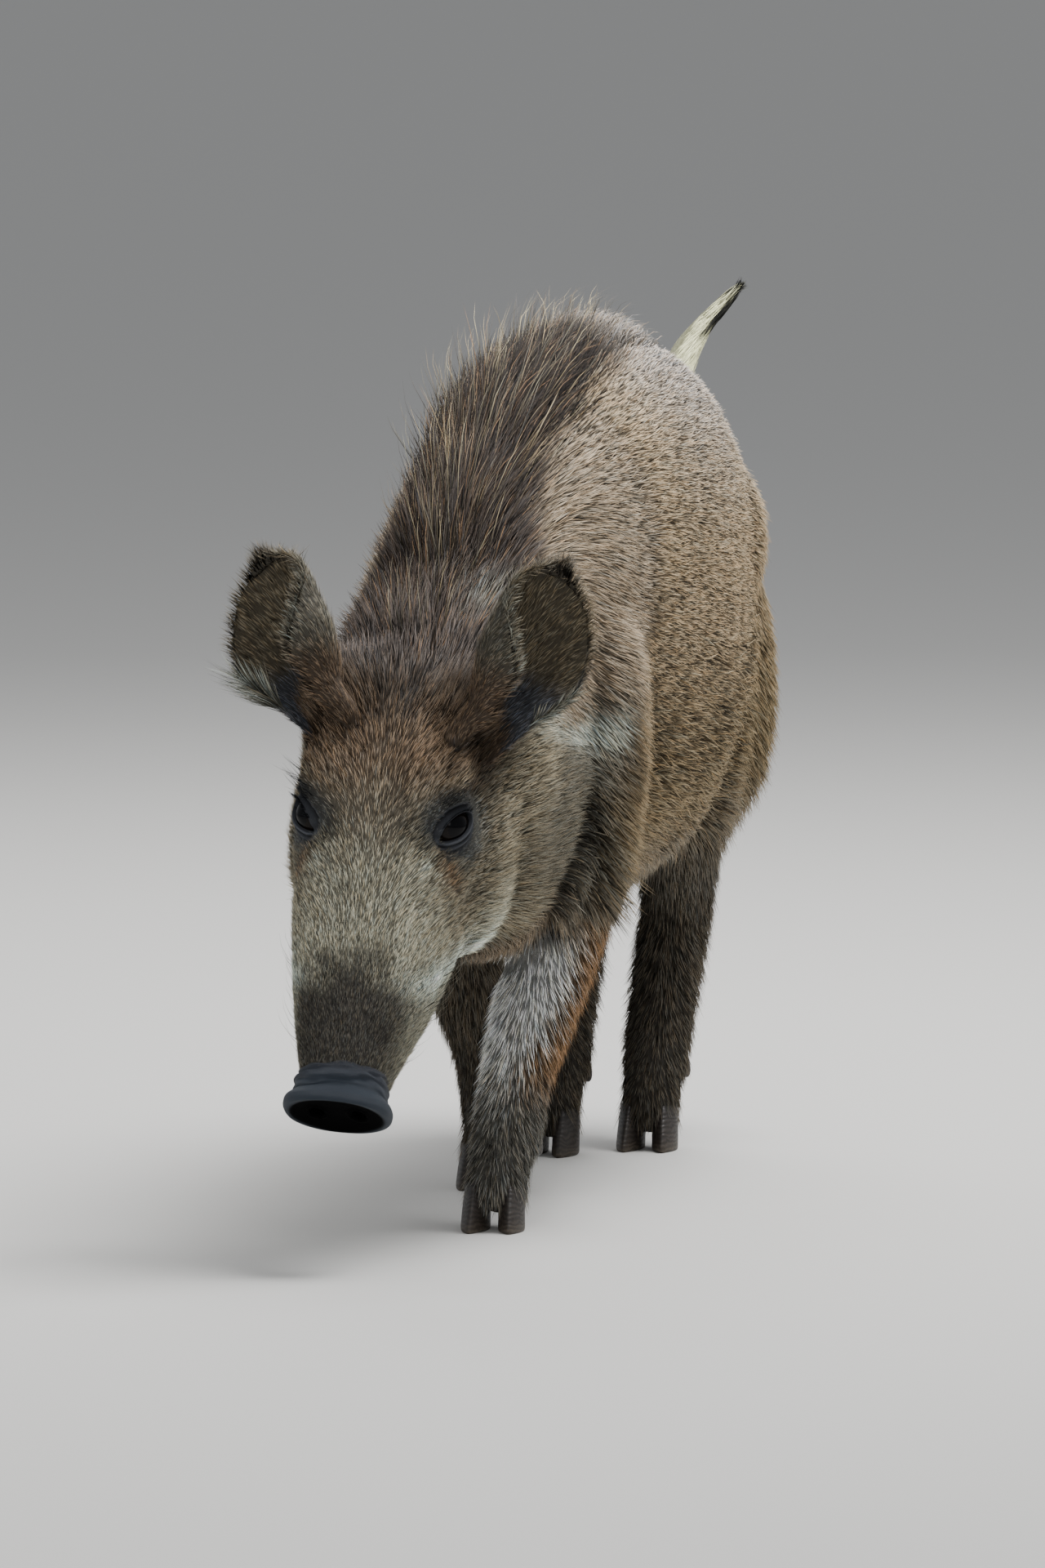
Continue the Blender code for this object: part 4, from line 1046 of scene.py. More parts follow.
def coat_colour(points, part):
    """The coat's colour at each point, before the single hairs vary it."""
    at = places(points, part)
    # Darker down the flank to the belly: partly the coat's own colour, partly painted shade under the body.
    low = ramp(88, 130, at.round + 6 * ripple(points, 0.12, 5))
    colour = mix(COAT.flank, COAT.low_flank, low)
    colour = mix(colour, COAT.belly, ramp(134, 150, at.round))
    grey = ramp(-0.20, 0.10, at.spine) * ramp(88, 26, at.round + 5 * ripple(points, 0.05, 21))
    colour = mix(colour, COAT.loin, grey)
    crease = np.interp(at.z, *CREASE)
    colour = mix(colour, COAT.shoulder, ramp(0.015, -0.015, at.spine - crease) * ramp(120, 90, at.round))
    # Painted shade in the crease between shoulder and neck.
    fold = bell(at.spine, crease + 0.006, 0.017) * ramp(0.29, 0.33, at.z) * ramp(0.47, 0.42, at.z)
    colour = colour * (1 - 0.55 * fold)[:, None]
    neck = ramp(-0.262, -0.304, at.spine + 0.006 * ripple(points, 0.02, 41)) * ramp(82, 96, at.round)
    neck_colour = mix(COAT.neck, COAT.neck_dark_and_shade, ramp(98, 117, at.round + 6 * ripple(points, 0.03, 11)))
    colour = mix(colour, neck_colour, neck)
    colour = mix(colour, COAT.brisket, ramp(-0.16, -0.22, at.spine) * ramp(136, 156, at.round))
    across = at.x - SHIFT[0]
    streak = bell(at.z, 0.363, 0.009) * ramp(-0.275, -0.295, at.spine) * ramp(0.035, 0.06, abs(across))
    colour = mix(colour, COAT.pale, 0.7 * streak)
    colour = mix(colour, mane_tone(at.spine), mane_share(at)[:, None])
    behind_ear = bell(at.back, 0.385, 0.020) * bell(abs(at.left), 0.032, 0.010) * bell(at.up, 0.012, 0.02)
    below_ear = bell(at.back, 0.335, 0.026) * bell(abs(at.left), 0.078, 0.016) * bell(at.up, -0.010, 0.030)
    colour = mix(colour, COAT.pale, (0.22 * behind_ear * (at.left > 0) + 0.45 * below_ear) * (1 - at.ear))
    colour = mix(colour, face_colour(at), at.head)
    colour = mix(colour, leg_colour(at), at.leg)
    band = bell(at.z, 0.199 + 1.8 * (across - 0.068), 0.011) * bell(across, 0.082, 0.015)
    band *= ramp(-0.285, -0.305, at.spine)  # a whitish band on the front of the left upper arm
    colour = mix(colour, COAT.leg_silver, 0.6 * band * (1 - at.head))
    colour = colour * (1 + 0.12 * ripple(points, 0.05, 17) + 0.08 * ripple(points, 0.016, 19))[:, None]
    colour = np.where(at.ear[:, None], ear_colour(at), colour)
    return mix(colour, COAT.tail, at.tail)


# %% [markdown]
# ## The way the coat lies
#
# Hair runs from the nose to the tail and down the legs. Here each region has its own direction, the regions
# are blended, and the blend is laid flat on the skin by taking away its part along the normal.


# %% Lie
def laid_flat(ways, normals):
    """Directions with their part along the normal taken away, made one long."""
    return unit(ways - normals * (ways * normals).sum(axis=1, keepdims=True))


def by_ear(points):
    """1 close to the root of either ear, 0 from 62 mm away."""
    away = [np.linalg.norm(points - head_point(*EAR_ROOT[side]), axis=1) for side in (1, -1)]
    return ramp(0.062, 0.040, np.minimum(*away))


def coat_lie(points, normals, part):
    """The direction in which the hair points at each place, along the skin."""
    at = places(points, part)
    side = np.where(at.left_side, 1.0, -1.0)
    down = ramp(15, 75, at.round) * (1 - ramp(130, 165, at.round))
    rump = ramp(0.14, 0.28, at.spine)
    trunk = np.stack([0 * down, np.ones(len(down)), -0.20 * down - 1.6 * rump], -1)
    neck = np.stack([0.1 * side, np.ones(len(down)), 0.30 - 1.1 * down], -1)
    ways = mix(trunk, neck, ramp(-0.16, -0.28, at.spine))
    fan = np.clip(at.left / 0.03, -1, 1) * (0.55 * ramp(0.10, 0.16, at.back) + 0.15)
    drop = -0.75 * ramp(0.02, 0.045, abs(at.left)) * ramp(0.06, -0.02, at.up) * ramp(0.10, 0.17, at.back)
    face = HEAD_BACK + fan[:, None] * HEAD_LEFT + drop[:, None] * HEAD_UP
    ways = mix(ways, face, at.head)
    up_ear = np.where(at.left_side[:, None], ear_frame(1)[1], ear_frame(-1)[1])
    ways = mix(ways, up_ear, 0.8 * by_ear(points) * at.head)
    leg = np.stack([0 * down, np.where(at.fore, 0.25, 0.20), -np.ones(len(down))], -1)
    ways = mix(ways, leg, at.leg)
    for code, sign in EARS:
        _, lean, sideways, opens = ear_frame(sign)
        angle = ear_coordinates(points, sign)[1]
        along_arc = np.cos(angle)[:, None] * sideways + np.sin(angle)[:, None] * opens
        edgeward = lean + along_arc * (0.9 * np.clip(angle / 1.2, -1, 1))[:, None]
        ways = np.where((part == code)[:, None], edgeward, ways)
    tail_way = unit(np.gradient(shifted(TAIL)[:, :3], axis=0))
    heights = shifted(TAIL)[:, 2]
    along_tail = np.stack([np.interp(points[:, 2], heights, tail_way[:, k]) for k in range(3)], -1)
    ways = np.where(at.tail[:, None], along_tail, ways)
    ways = ways + 0.10 * np.stack([ripple(points, 0.05, seed) for seed in (31, 32, 33)], -1)
    return laid_flat(ways, normals)


# %% [markdown]
# ## Tufts
#
# A tuft is a thin closed spike. The short ones are straight, with four faces. The longer ones bend once or
# twice on their way, and droop towards the skin. Thousands overlap like tiles, so their roots never show.
# Roots are scattered over the skin, each triangle's share being its area times the wanted density.
# Blender's hair curves would be lighter, but only closed meshes can be exported and reused.

# %% Scatter
island_sizes = [len(points) for points, _ in islands]
body_size = len(skin_mesh.vertices) - sum(island_sizes)
part_codes = np.repeat((BODY, LEFT_EAR, RIGHT_EAR, TAIL_PART), (body_size, *island_sizes))

skin_points, skin_normals = points_of(skin_mesh), normals_of(skin_mesh)
skin_mesh.calc_loop_triangles()
skin_triangles = np.empty(len(skin_mesh.loop_triangles) * 3, np.int32)
skin_mesh.loop_triangles.foreach_get("vertices", skin_triangles)
skin_triangles = skin_triangles.reshape(-1, 3)
corners = skin_points[skin_triangles]
one_side, other_side = corners[:, 1] - corners[:, 0], corners[:, 2] - corners[:, 0]
triangle_areas = np.linalg.norm(np.cross(one_side, other_side), axis=1) / 2
triangle_places = places(corners.mean(axis=1), part_codes[skin_triangles[:, 0]])
print("skin area", round(triangle_areas.sum(), 3), "m2,", len(triangle_areas), "triangles")


def scatter(density, count, seed):
    """count roots on the skin: a triangle is drawn by area times density, and a point in it evenly.

    With two even draws u and v, the point is a (1 - sqrt u) + b sqrt u (1 - v) + c v sqrt u.
    """
    rng = np.random.default_rng(seed)
    weight = np.cumsum(triangle_areas * density)
    chosen = np.searchsorted(weight, np.sort(rng.uniform(0, weight[-1], count)))
    chosen = np.minimum(chosen, len(weight) - 1)
    root_u, v = np.sqrt(rng.uniform(size=count)), rng.uniform(size=count)
    shares = np.stack([1 - root_u, root_u * (1 - v), root_u * v], -1)[..., None]
    ids = skin_triangles[chosen]
    roots = SimpleNamespace(points=(skin_points[ids] * shares).sum(axis=1), rng=rng)
    roots.normals = unit((skin_normals[ids] * shares).sum(axis=1))
    roots.part = part_codes[ids[:, 0]]
    return roots


# %% Spikes
def spikes(roots, ways, length, width, lift, droop, steps=1, flat=0.45, sink=0.0008):
    """Closed spikes as points, faces, share along and normals.

    At share s of its length a spike points along way cos a + normal sin a, with a = lift - droop s. Three
    points stand round its middle, at width (1 - s^1.5) apart, and one is at the tip.
    """
    count = len(roots.points)
    shares = np.linspace(0, 1, steps + 1)
    middle = roots.points - roots.normals * sink
    centres, directions = [], []
    previous = 0.0
    for share in shares:
        angle = lift - droop * (share + previous) / 2
        way = ways * np.cos(angle)[:, None] + roots.normals * np.sin(angle)[:, None]
        middle = middle + way * (length * (share - previous))[:, None]
        centres.append(middle)
        directions.append(way)
        previous = share
    across = unit(np.cross(ways, roots.normals))
    points, normals = [], []
    for k, share in enumerate(shares[:-1]):
        above = np.cross(across, directions[k])
        half = (width * (1 - share**1.5) / 2)[:, None]
        points += [
            centres[k] + across * half,
            centres[k] - across * half,
            centres[k] + above * half * 2 * flat,
        ]
        normals += [roots.normals + across * 0.9, roots.normals - across * 0.9, roots.normals + above * 0.3]
    points.append(centres[-1])
    normals.append(roots.normals + 0.15 * directions[-1])
    points, normals = np.stack(points, 1), unit(np.stack(normals, 1))
    each = 3 * steps + 1
    faces = [(0, 2, 1)]
    for k in range(steps - 1):
        for a, b in ((0, 1), (1, 2), (2, 0)):
            p, q = 3 * k + a, 3 * k + b
            faces += [(p, q, q + 3), (p, q + 3, p + 3)]
    top = 3 * (steps - 1)
    faces += [(top, top + 1, each - 1), (top + 1, top + 2, each - 1), (top + 2, top, each - 1)]
    numbers = np.array(faces)[None] + each * np.arange(count)[:, None, None]
    along = np.append(np.repeat(shares[:-1], 3), 1.0)
    return SimpleNamespace(
        points=points.reshape(-1, 3),
        faces=numbers.reshape(-1, 3),
        along=np.tile(along, count),
        normals=normals.reshape(-1, 3),
        each=each,
        roots=roots,
    )


# %% Length, width and lift of the hair at each place
def hair_size(at):
    """Length and width in metres, lift in radians, blended between the regions like the colours."""
    below = ramp(110, 155, at.round)
    size = mix((0.0170, 0.00110, 0.25), (0.0270, 0.00115, 0.42), below)
    size = mix(size, (0.0230, 0.00105, 0.34), ramp(-0.18, -0.27, at.spine))
    size = mix(size, (0.0300, 0.00100, 0.50), mane_share(at))
    side = abs(at.left)
    face = mix((0.0068, 0.00060, 0.30), (0.0095, 0.00072, 0.26), ramp(0.07, 0.13, at.back))
    face = mix(face, (0.0125, 0.00080, 0.30), ramp(0.18, 0.25, at.back))
    tuft = ramp(0.13, 0.19, at.back) * ramp(0.0, -0.03, at.up) * ramp(0.02, 0.04, side)
    face = mix(face, (0.0190, 0.00095, 0.44), tuft)
    face = mix(face, (0.0100, 0.00070, 0.40), ramp(-0.012, -0.03, at.up) * ramp(0.12, 0.08, at.back))
    face = mix(face, (0.0048, 0.00055, 0.28), near_eye(at.points, 0.031))
    size = mix(size, face, at.head)
    leg = mix((0.0135, 0.00080, 0.30), (0.0190, 0.00095, 0.36), ramp(0.07, 0.14, at.z))
    leg = mix(leg, (0.0190, 0.00090, 0.20), ramp(0.055, 0.038, at.z))
    size = mix(size, leg, at.leg)
    size = mix(size, (0.0240, 0.00085, 0.46), by_ear(at.points) * at.head)
    size = mix(size, (0.0124, 0.00064, 0.22), at.ear)
    size = mix(size, (0.0300, 0.00090, 0.12), at.tail)
    return size.T


def turn_share(x, y):
    """The angle from the y axis towards x as a share of a whole turn, from half a turn back."""
    return (np.arctan2(x, y) + math.pi) / 6.2832


def coat_map(at, chart):
    """Where each root lies on the unwrapped skin: along and round the trunk, head, legs, ears or tail."""
    if chart == "head":
        return np.stack([at.back / 0.40, turn_share(at.left, at.up + 0.02)], -1)
    if chart == "legs":
        column = np.where(at.fore, 0, 2) + np.where(at.left_side, 0, 1)
        rows = np.array([shifted(LEGS[name])[4, :2] for name in LEGS])
        offset = np.stack([at.x, at.y], -1) - rows[column]
        around = turn_share(*offset.T)
        return np.stack([(column + 0.96 * np.clip(around, 0, 1)) / 4, at.z / 0.34], -1)
    if chart == "ears":
        found = np.zeros((len(at.x), 2))
        for k, (code, side) in enumerate(EARS):
            root, lean, sideways, opens = ear_frame(side)
            offset = at.points - root
            inside = (offset @ opens > 0.004) * 0.24
            across = np.clip((offset @ sideways) / EAR_WIDTH + 0.5, 0, 1) * 0.22
            here = at.part == code
            found[here] = np.stack([0.5 * k + inside + across, (offset @ lean + 0.02) / 0.15], -1)[here]
        return found
    if chart == "tail":
        return np.stack([(at.z - 0.50) / 0.16, turn_share(at.x - SHIFT[0], at.y)], -1)
    turn = (at.round * np.where(at.left_side, 1, -1) + 180) / 360
    return np.stack([(at.spine + 0.47) / 0.80, turn], -1)


PATCH = 0.003  # size of a tuft's patch on the unwrapped skin


def coat_piece(name, slot, chart, tufts, tint, material):
    """One mesh of spikes, with its colours, its soft normals and its place on the unwrapped skin."""
    piece = new_object(name, tufts.points, [tufts.faces], material)
    mesh = piece.data
    each = tufts.each
    paint(mesh, "tint", np.repeat(tint, each, axis=0))
    paint(mesh, "along", tufts.along)
    at = places(tufts.roots.points, tufts.roots.part)
    centre = np.clip(coat_map(at, chart), 0.002, 0.995)
    ring = np.tile((-0.5, 0.5, 0.0), (each - 1) // 3)
    offset = np.stack([np.append(ring, 0.0), tufts.along[:each]], -1) * PATCH
    corner = (centre[:, None] + offset[None]).reshape(-1, 2)
    loops = np.empty(len(mesh.loops), np.int32)
    mesh.loops.foreach_get("vertex_index", loops)
    layer = mesh.uv_layers.new(name="OFBake")
    layer.uv.foreach_set("vector", corner[loops].astype(np.float32).reshape(-1))
    mesh.normals_split_custom_set_from_vertices(tufts.normals)
    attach(piece, "root")
    print(f"{name}: {len(tufts.roots.points)} tufts, {len(mesh.polygons)} triangles")
    return piece


def grow(name, slot, chart, density, count, seed, material, steps=1, size=hair_size, bend=0.10, tint=None):
    """Scatters roots, asks how the coat lies and looks there, and makes the spikes."""
    roots = scatter(density, count, seed)
    rng = roots.rng
    at = places(roots.points, roots.part)
    length, width, lift = size(at)
    ways = coat_lie(roots.points, roots.normals, roots.part)
    across = np.cross(roots.normals, ways)
    # Tufts turn and rise together in patches about a centimetre wide, and each a little by itself.
    clump = 0.16 * ripple(roots.points, 0.011, seed + 1) + rng.normal(0, 0.13, count)
    ways = unit(ways + across * clump[:, None])
    lift = lift + 0.09 * ripple(roots.points, 0.014, seed + 2) + rng.normal(0, 0.07, count)
    lift = np.maximum(lift, 0.05)
    length = length * rng.uniform(0.72, 1.25, count)
    width = width * rng.uniform(0.75, 1.25, count)
    tufts = spikes(roots, ways, length, width, lift, bend + lift * 0.9 * (steps > 1), steps=steps)
    # Each takes its colour from a place a few millimetres away, so that markings have frayed edges.
    spread = rng.normal(0, 1, (count, 3)) * (0.0035 * (1 - 0.5 * at.head) * (at.part == BODY))[:, None]
    colour = coat_colour(roots.points + spread, roots.part) if tint is None else tint(at, rng)
    return coat_piece(name, slot, chart, tufts, vary(colour, at, rng), material)


def opaque(colour):
    """Colours with an alpha of 1 added."""
    return np.concatenate([colour, np.ones((len(colour), 1))], axis=1)


def vary(colour, at, rng):
    """Makes single hairs differ from the colour of their place.

    About a quarter are dark all along, fewer where the coat is pale and half as many on the low flank and
    belly. The rest differ in brightness and warmth, and a few hairs of the mane are straw.
    """
    count = len(colour)
    below = 1 - 0.5 * ramp(95, 125, at.round) * ramp(-0.26, -0.22, at.spine)
    dark = rng.uniform(size=count) < 0.27 * ramp(0.80, 0.45, colour.max(axis=1)) * below
    bright = np.where(dark, rng.uniform(0.20, 0.55, count), rng.uniform(0.80, 1.65, count))
    streaky = mane_share(at) * (1 - 0.75 * at.head) * (1 - at.tail) * (1 - at.ear)
    streak = rng.uniform(size=count) < 0.06 * streaky
    straw = np.array(COAT.mane_streak) * rng.uniform(0.45, 1.1, (count, 1))
    colour = np.where(streak[:, None], straw, colour)
    warm = rng.normal(0, 0.06, count)
    colour = colour * bright[:, None] * (1 + warm[:, None] * (1.0, 0.0, -1.2))
    return opaque(np.clip(colour, 0.004, 0.95))


# %% [markdown]
# ## Materials
#
# Each hair of a boar is dark at its root, has a pale band, and ends dark. Without these bands a coat looks
# like plush, so a node group paints them along every tuft from the stored share of its length. The skin
# takes the same colour, darker as painted shade under the hair, with fine streaks. Horn, wet nose and eyes
# have their own materials.


# %% Node helpers
def node_group(name, inputs, outputs):
    """An empty shader group with named inputs (name, kind, default) and outputs (name, kind)."""
    group = bpy.data.node_groups.new(name, "ShaderNodeTree")
    for title, kind, default in inputs:
        socket = group.interface.new_socket(title, in_out="INPUT", socket_type=kind)
        socket.default_value = default
    for title, kind in outputs:
        group.interface.new_socket(title, in_out="OUTPUT", socket_type=kind)
    return group, group.nodes.new("NodeGroupInput").outputs, group.nodes.new("NodeGroupOutput").inputs


def add_node(tree, kind, settings=None, **inputs):
    """A node with its settings and inputs.

    An input is named by its number, as i0, or by its title, with _ for a space. A socket given to it is
    linked, and anything else becomes its value.
    """
    node = tree.nodes.new("ShaderNode" + kind)
    for key, value in (settings or {}).items():
        setattr(node, key, value)
    for key, value in inputs.items():
        numbered = key[0] == "i" and key[1:].isdigit()
        socket = node.inputs[int(key[1:]) if numbered else key.replace("_", " ")]
        if isinstance(value, bpy.types.NodeSocket):
            tree.links.new(value, socket)
        else:
            socket.default_value = value
    return node


def maths(tree, operation, *values):
    """The result of an operation on one or two numbers."""
    inputs = {f"i{k}": value for k, value in enumerate(values)}
    return add_node(tree, "Math", {"operation": operation}, **inputs).outputs[0]


def shaded(tree, a, b, share):
    """Colour a, going over to a times b as the share goes from 0 to 1."""
    settings = {"data_type": "RGBA", "blend_type": "MULTIPLY"}
    return add_node(tree, "Mix", settings, i0=share, i6=a, i7=b).outputs[2]


def bands(tree, factor, stops):
    """A colour ramp of grey values (or colours) at positions along the factor."""
    node = add_node(tree, "ValToRGB", Fac=factor)
    ramp_stops = node.color_ramp.elements
    while len(ramp_stops) < len(stops):
        ramp_stops.new(0.5)
    for stop, (position, colour) in zip(ramp_stops, stops):
        stop.position = position
        stop.color = (*colour, 1) if isinstance(colour, tuple) else (colour, colour, colour, 1)
    return node.outputs["Color"]


def new_material(name, roughness, **constants):
    """A Principled material and its tree; the constants are set on the shader's own sockets."""
    made = bpy.data.materials.new(name)
    made.use_nodes = True
    shader = made.node_tree.nodes["Principled BSDF"]
    shader.inputs["Roughness"].default_value = roughness
    for key, value in constants.items():
        shader.inputs[key.replace("_", " ")].default_value = value
    return made, made.node_tree, shader.inputs


# %% Hair
def agouti_group():
    """A hair's colour and roughness along its length: dark root, pale band, dark and smoother tip."""
    group, given, out = node_group(
        "agouti bands",
        [("Tint", "NodeSocketColor", (0.3, 0.25, 0.2, 1)), ("Along", "NodeSocketFloat", 0.5)],
        [("Color", "NodeSocketColor"), ("Roughness", "NodeSocketFloat")],
    )
    band = bands(group, given["Along"], [(0.0, 0.10), (0.40, 0.28), (0.62, 1.05), (0.82, 1.45), (1.0, 0.45)])
    group.links.new(shaded(group, given["Tint"], band, 1.0), out["Color"])
    rough = add_node(group, "MapRange", Value=given["Along"], To_Min=0.85, To_Max=0.55)
    group.links.new(rough.outputs[0], out["Roughness"])
    return group


AGOUTI = agouti_group()


def attribute(tree, name, output="Color"):
    """What paint stored under that name."""
    return add_node(tree, "Attribute", {"attribute_name": name}).outputs[output]


def hair_material(name):
    """Banded hair in the colour stored on each tuft."""
    made, tree, sockets = new_material(name, 0.6, Specular_IOR_Level=0.04)
    coat = tree.nodes.new("ShaderNodeGroup")
    coat.node_tree = AGOUTI
    tree.links.new(attribute(tree, "tint"), coat.inputs["Tint"])
    tree.links.new(attribute(tree, "along", "Fac"), coat.inputs["Along"])
    tree.links.new(coat.outputs["Color"], sockets["Base Color"])
    tree.links.new(coat.outputs["Roughness"], sockets["Roughness"])
    return made


# %% Skin under the coat
def streaks_group():
    """Fine streaks along the lie of the coat: noise whose place is squeezed to 15 % along that direction."""
    group, given, out = node_group(
        "lying hair",
        [("Lie", "NodeSocketVector", (0, 1, 0)), ("Strength", "NodeSocketFloat", 0.5)],
        [("Shade", "NodeSocketFloat"), ("Normal", "NodeSocketVector")],
    )
    place = add_node(group, "NewGeometry").outputs["Position"]
    forward = add_node(group, "VectorMath", {"operation": "DOT_PRODUCT"}, i0=place, i1=given["Lie"])
    taken = maths(group, "MULTIPLY", forward.outputs["Value"], 0.85)
    scaled = add_node(group, "VectorMath", {"operation": "SCALE"}, i0=given["Lie"], Scale=taken)
    squeezed = add_node(group, "VectorMath", {"operation": "SUBTRACT"}, i0=place, i1=scaled.outputs[0])
    noise = add_node(group, "TexNoise", Vector=squeezed.outputs[0], Scale=900.0, Detail=3.0, Roughness=0.6)
    group.links.new(noise.outputs["Fac"], out["Shade"])
    bump = add_node(group, "Bump", Height=noise.outputs["Fac"], Strength=given["Strength"], Distance=0.0012)
    group.links.new(bump.outputs[0], out["Normal"])
    return group


STREAKS = streaks_group()


def skin_material():
    """The skin between the hairs, in its stored colour with fine streaks."""
    made, tree, sockets = new_material("boar skin", 0.75, Specular_IOR_Level=0.25)
    fur = tree.nodes.new("ShaderNodeGroup")
    fur.node_tree = STREAKS
    tree.links.new(attribute(tree, "lie", "Vector"), fur.inputs["Lie"])
    shade = bands(tree, fur.outputs["Shade"], [(0.30, 0.25), (0.50, 0.60), (0.68, 1.25)])
    tree.links.new(shaded(tree, attribute(tree, "tint"), shade, 1.0), sockets["Base Color"])
    tree.links.new(fur.outputs["Normal"], sockets["Normal"])
    return made


hair = hair_material("boar hair")
skin_mesh.materials.append(skin_material())

# %% Paint the skin
# The skin is the coat's colour at this brightness: painted shade of the hair over it.
SKIN_SHADE = 0.38  # brightness of the skin, as a share of the coat's over it
skin_places = places(skin_points, part_codes)
skin_tint = coat_colour(skin_points, part_codes) * SKIN_SHADE
for side in (1, -1):
    a, c, d = eye_coordinates(skin_points, side).T
    bare_ring = ramp(1.12, 0.92, np.hypot(a / 0.0215, (c + 0.001) / 0.0172)) * (d > -0.004)
    r, turn = np.hypot(a, c), np.arctan2(c, a)
    above = ramp(-0.1, 0.3, np.sin(turn))
    off = r - 1 / np.hypot(np.cos(turn) / LID_LONG, np.sin(turn) / np.where(c > 0, LID_ABOVE, LID_BELOW))
    # The bare lids are painted lighter on their rolls and darker in their creases: painted highlights and
    # painted shade over the same bumps that shape the lids.
    low_roll_highlights = bell(off, 0.0014, 0.0009) + 0.5 * bell(off, 0.0062, 0.0012)
    low_crease_shade = bell(off, 0.0040, 0.0010) + bell(off, 0.0086, 0.0012)
    light = above * bell(off, 0.0080, 0.0020) + (1 - above) * low_roll_highlights
    crease = above * bell(off, 0.0046, 0.0012) + (1 - above) * low_crease_shade
    lids = mix(COAT.bare, COAT.bare_roll_highlight, np.clip(light, 0, 1)) * (1 - 0.7 * crease)[:, None]
    skin_tint = mix(skin_tint, lids, bare_ring)
# The skin just behind the nose disc, inside its sleeve, is painted near black as shade.
skin_tint = mix(skin_tint, (0.002, 0.002, 0.002), skin_places.head * ramp(0.013, 0.009, skin_places.back))
paint(skin_mesh, "tint", opaque(skin_tint))
paint(skin_mesh, "lie", coat_lie(skin_points, skin_normals, part_codes))
print("skin painted at", len(skin_tint), "points")
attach(skin, "root")
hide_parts("head", "neck", "trunk", "tail", "ear_left", "ear_right", *LEGS)

# %% [markdown]
# ### The coat grows
#
# A boar's coat is short and dense on the face and legs and longer on the trunk. One scatter could serve all
# of it, but a piece for each region gives the face more tufts, and keeps each piece light to handle.

# %% Grow the coat
tri = triangle_places
body_part = (tri.part == BODY).astype(float)
haired = body_part * (1 - near_eye(tri.points, 0.0205)) * ramp(0.026, 0.029, tri.z)
haired *= np.where(tri.head > 0.5, ramp(0.012, 0.022, tri.back), 1)
on_legs = (tri.leg > 0.5) & (tri.head < 0.5)
on_face = tri.head >= 0.5
on_neck = ~on_legs & ~on_face & (tri.spine < -0.17)
on_trunk = ~on_legs & ~on_face & ~on_neck
face_density = haired * on_face * mix(3.2, 1.0, ramp(0.05, 0.22, tri.back))
face_density = face_density * (1 + 1.2 * near_eye(tri.points, 0.032)) * (1 + 0.8 * by_ear(tri.points))

grow("coat_left", "coat", "trunk", haired * on_trunk * tri.left_side, 49000, 41, hair)
grow("coat_right", "coat", "trunk", haired * on_trunk * ~tri.left_side, 42000, 43, hair)
grow("coat_neck", "coat", "trunk", haired * on_neck, 42000, 45, hair)
grow("face_coat_left", "face_coat", "head", face_density * tri.left_side, 46000, 47, hair)
grow("face_coat_right", "face_coat", "head", face_density * ~tri.left_side, 42000, 49, hair)
grow("leg_hair", "leg_coat", "legs", haired * on_legs, 49000, 51, hair)
grow("ear_hair", "ear_coat", "ears", tri.ear.astype(float), 24000, 53, hair)

# %% [markdown]
# ### Bristles, fringes and lashes
#
# Along the spine, from between the ears to the loin, stands a crest of stiff bristles that lean back. Long
# hair hangs from the brisket and the belly's edge, fringes the ears and stands round the eyes. These are
# few, so each can bend in several steps. The tail's hair runs together into a point.

# %% Crest
CREST = (  # places along the spine, and the crest's height there in millimetres
    (-0.46, -0.405, -0.345, -0.275, -0.195, -0.10, 0.01, 0.125, 0.225),
    (14, 24, 40, 50, 51, 42, 28, 15, 6),
)


def crest_size(at):
    """Bristles a tenth longer than the crest is high there, because they lean, plus 20 mm of coat depth."""
    high = np.interp(at.spine, CREST[0], np.array(CREST[1]) / 1000) * bell(at.round, 0, 26)
    return 0.020 + high * 1.10, np.full(len(high), 0.00066), 0.55 + 0.50 * ramp(0.004, 0.03, high)


def crest_tint(at, rng):
    """Dark bristles, lighter on the neck and grey over the loin; one in twenty-two is straw."""
    count = len(at.x)
    pale = rng.uniform(size=count) < 0.045
    straw = mix(COAT.mane_streak, (0.24, 0.20, 0.15), rng.uniform(size=count))
    share = ramp(-0.10, 0.02, at.spine)[:, None]
    dark = mane_tone(at.spine) * (1 - share) + np.array(COAT.loin) * 0.75 * share
    return np.where(pale[:, None], straw, dark)


def wisp_size(at):
    """A few longer and stiffer bristles that stand well clear of the crest, most of all on the neck."""
    long, width, lift = crest_size(at)
    return long * mix(1.32, 1.22, ramp(-0.22, -0.14, at.spine)) + 0.004, width * 0.8, lift + 0.22


def wisp_tint(at, rng):
    """From near black to straw, with fewer pale ones behind the withers. The pale ones are partly straw
    bristles and partly painted rim light glowing on the crest's outline.
    """
    dull = ramp(-0.20, -0.14, at.spine) * ramp(0.0, -0.10, at.spine)
    return mix((0.05, 0.045, 0.042), (0.38, 0.32, 0.20), rng.uniform(size=len(at.x)) ** mix(1.4, 3.5, dull))


on_crest = (tri.part == BODY) * (tri.spine > -0.46) * (tri.z > 0.38)
on_crest = on_crest * ramp(0.345, 0.365, tri.back + 0.2 * tri.up)
crest_width = mix(15.0, 9.0, ramp(-0.22, -0.08, tri.spine))  # in degrees round the trunk
crest_density = on_crest * bell(tri.round, 0, crest_width) * ramp(0.24, 0.10, tri.spine)
wisp_density = crest_density * ramp(0.10, 0.0, tri.spine)
grow(
    "crest", "mane", "trunk", crest_density, 11500, 61, hair,
    steps=3, size=crest_size, bend=0.30, tint=crest_tint,
)
grow(
    "crest_wisps", "mane", "trunk", wisp_density, 600, 62, hair,
    steps=3, size=wisp_size, bend=0.25, tint=wisp_tint,
)


# %% Brisket and belly
def same_size(length, width, lift):
    """A size function that gives every tuft the same length, width and lift."""
    return lambda at: np.repeat([[length], [width], [lift]], len(at.x), axis=1)


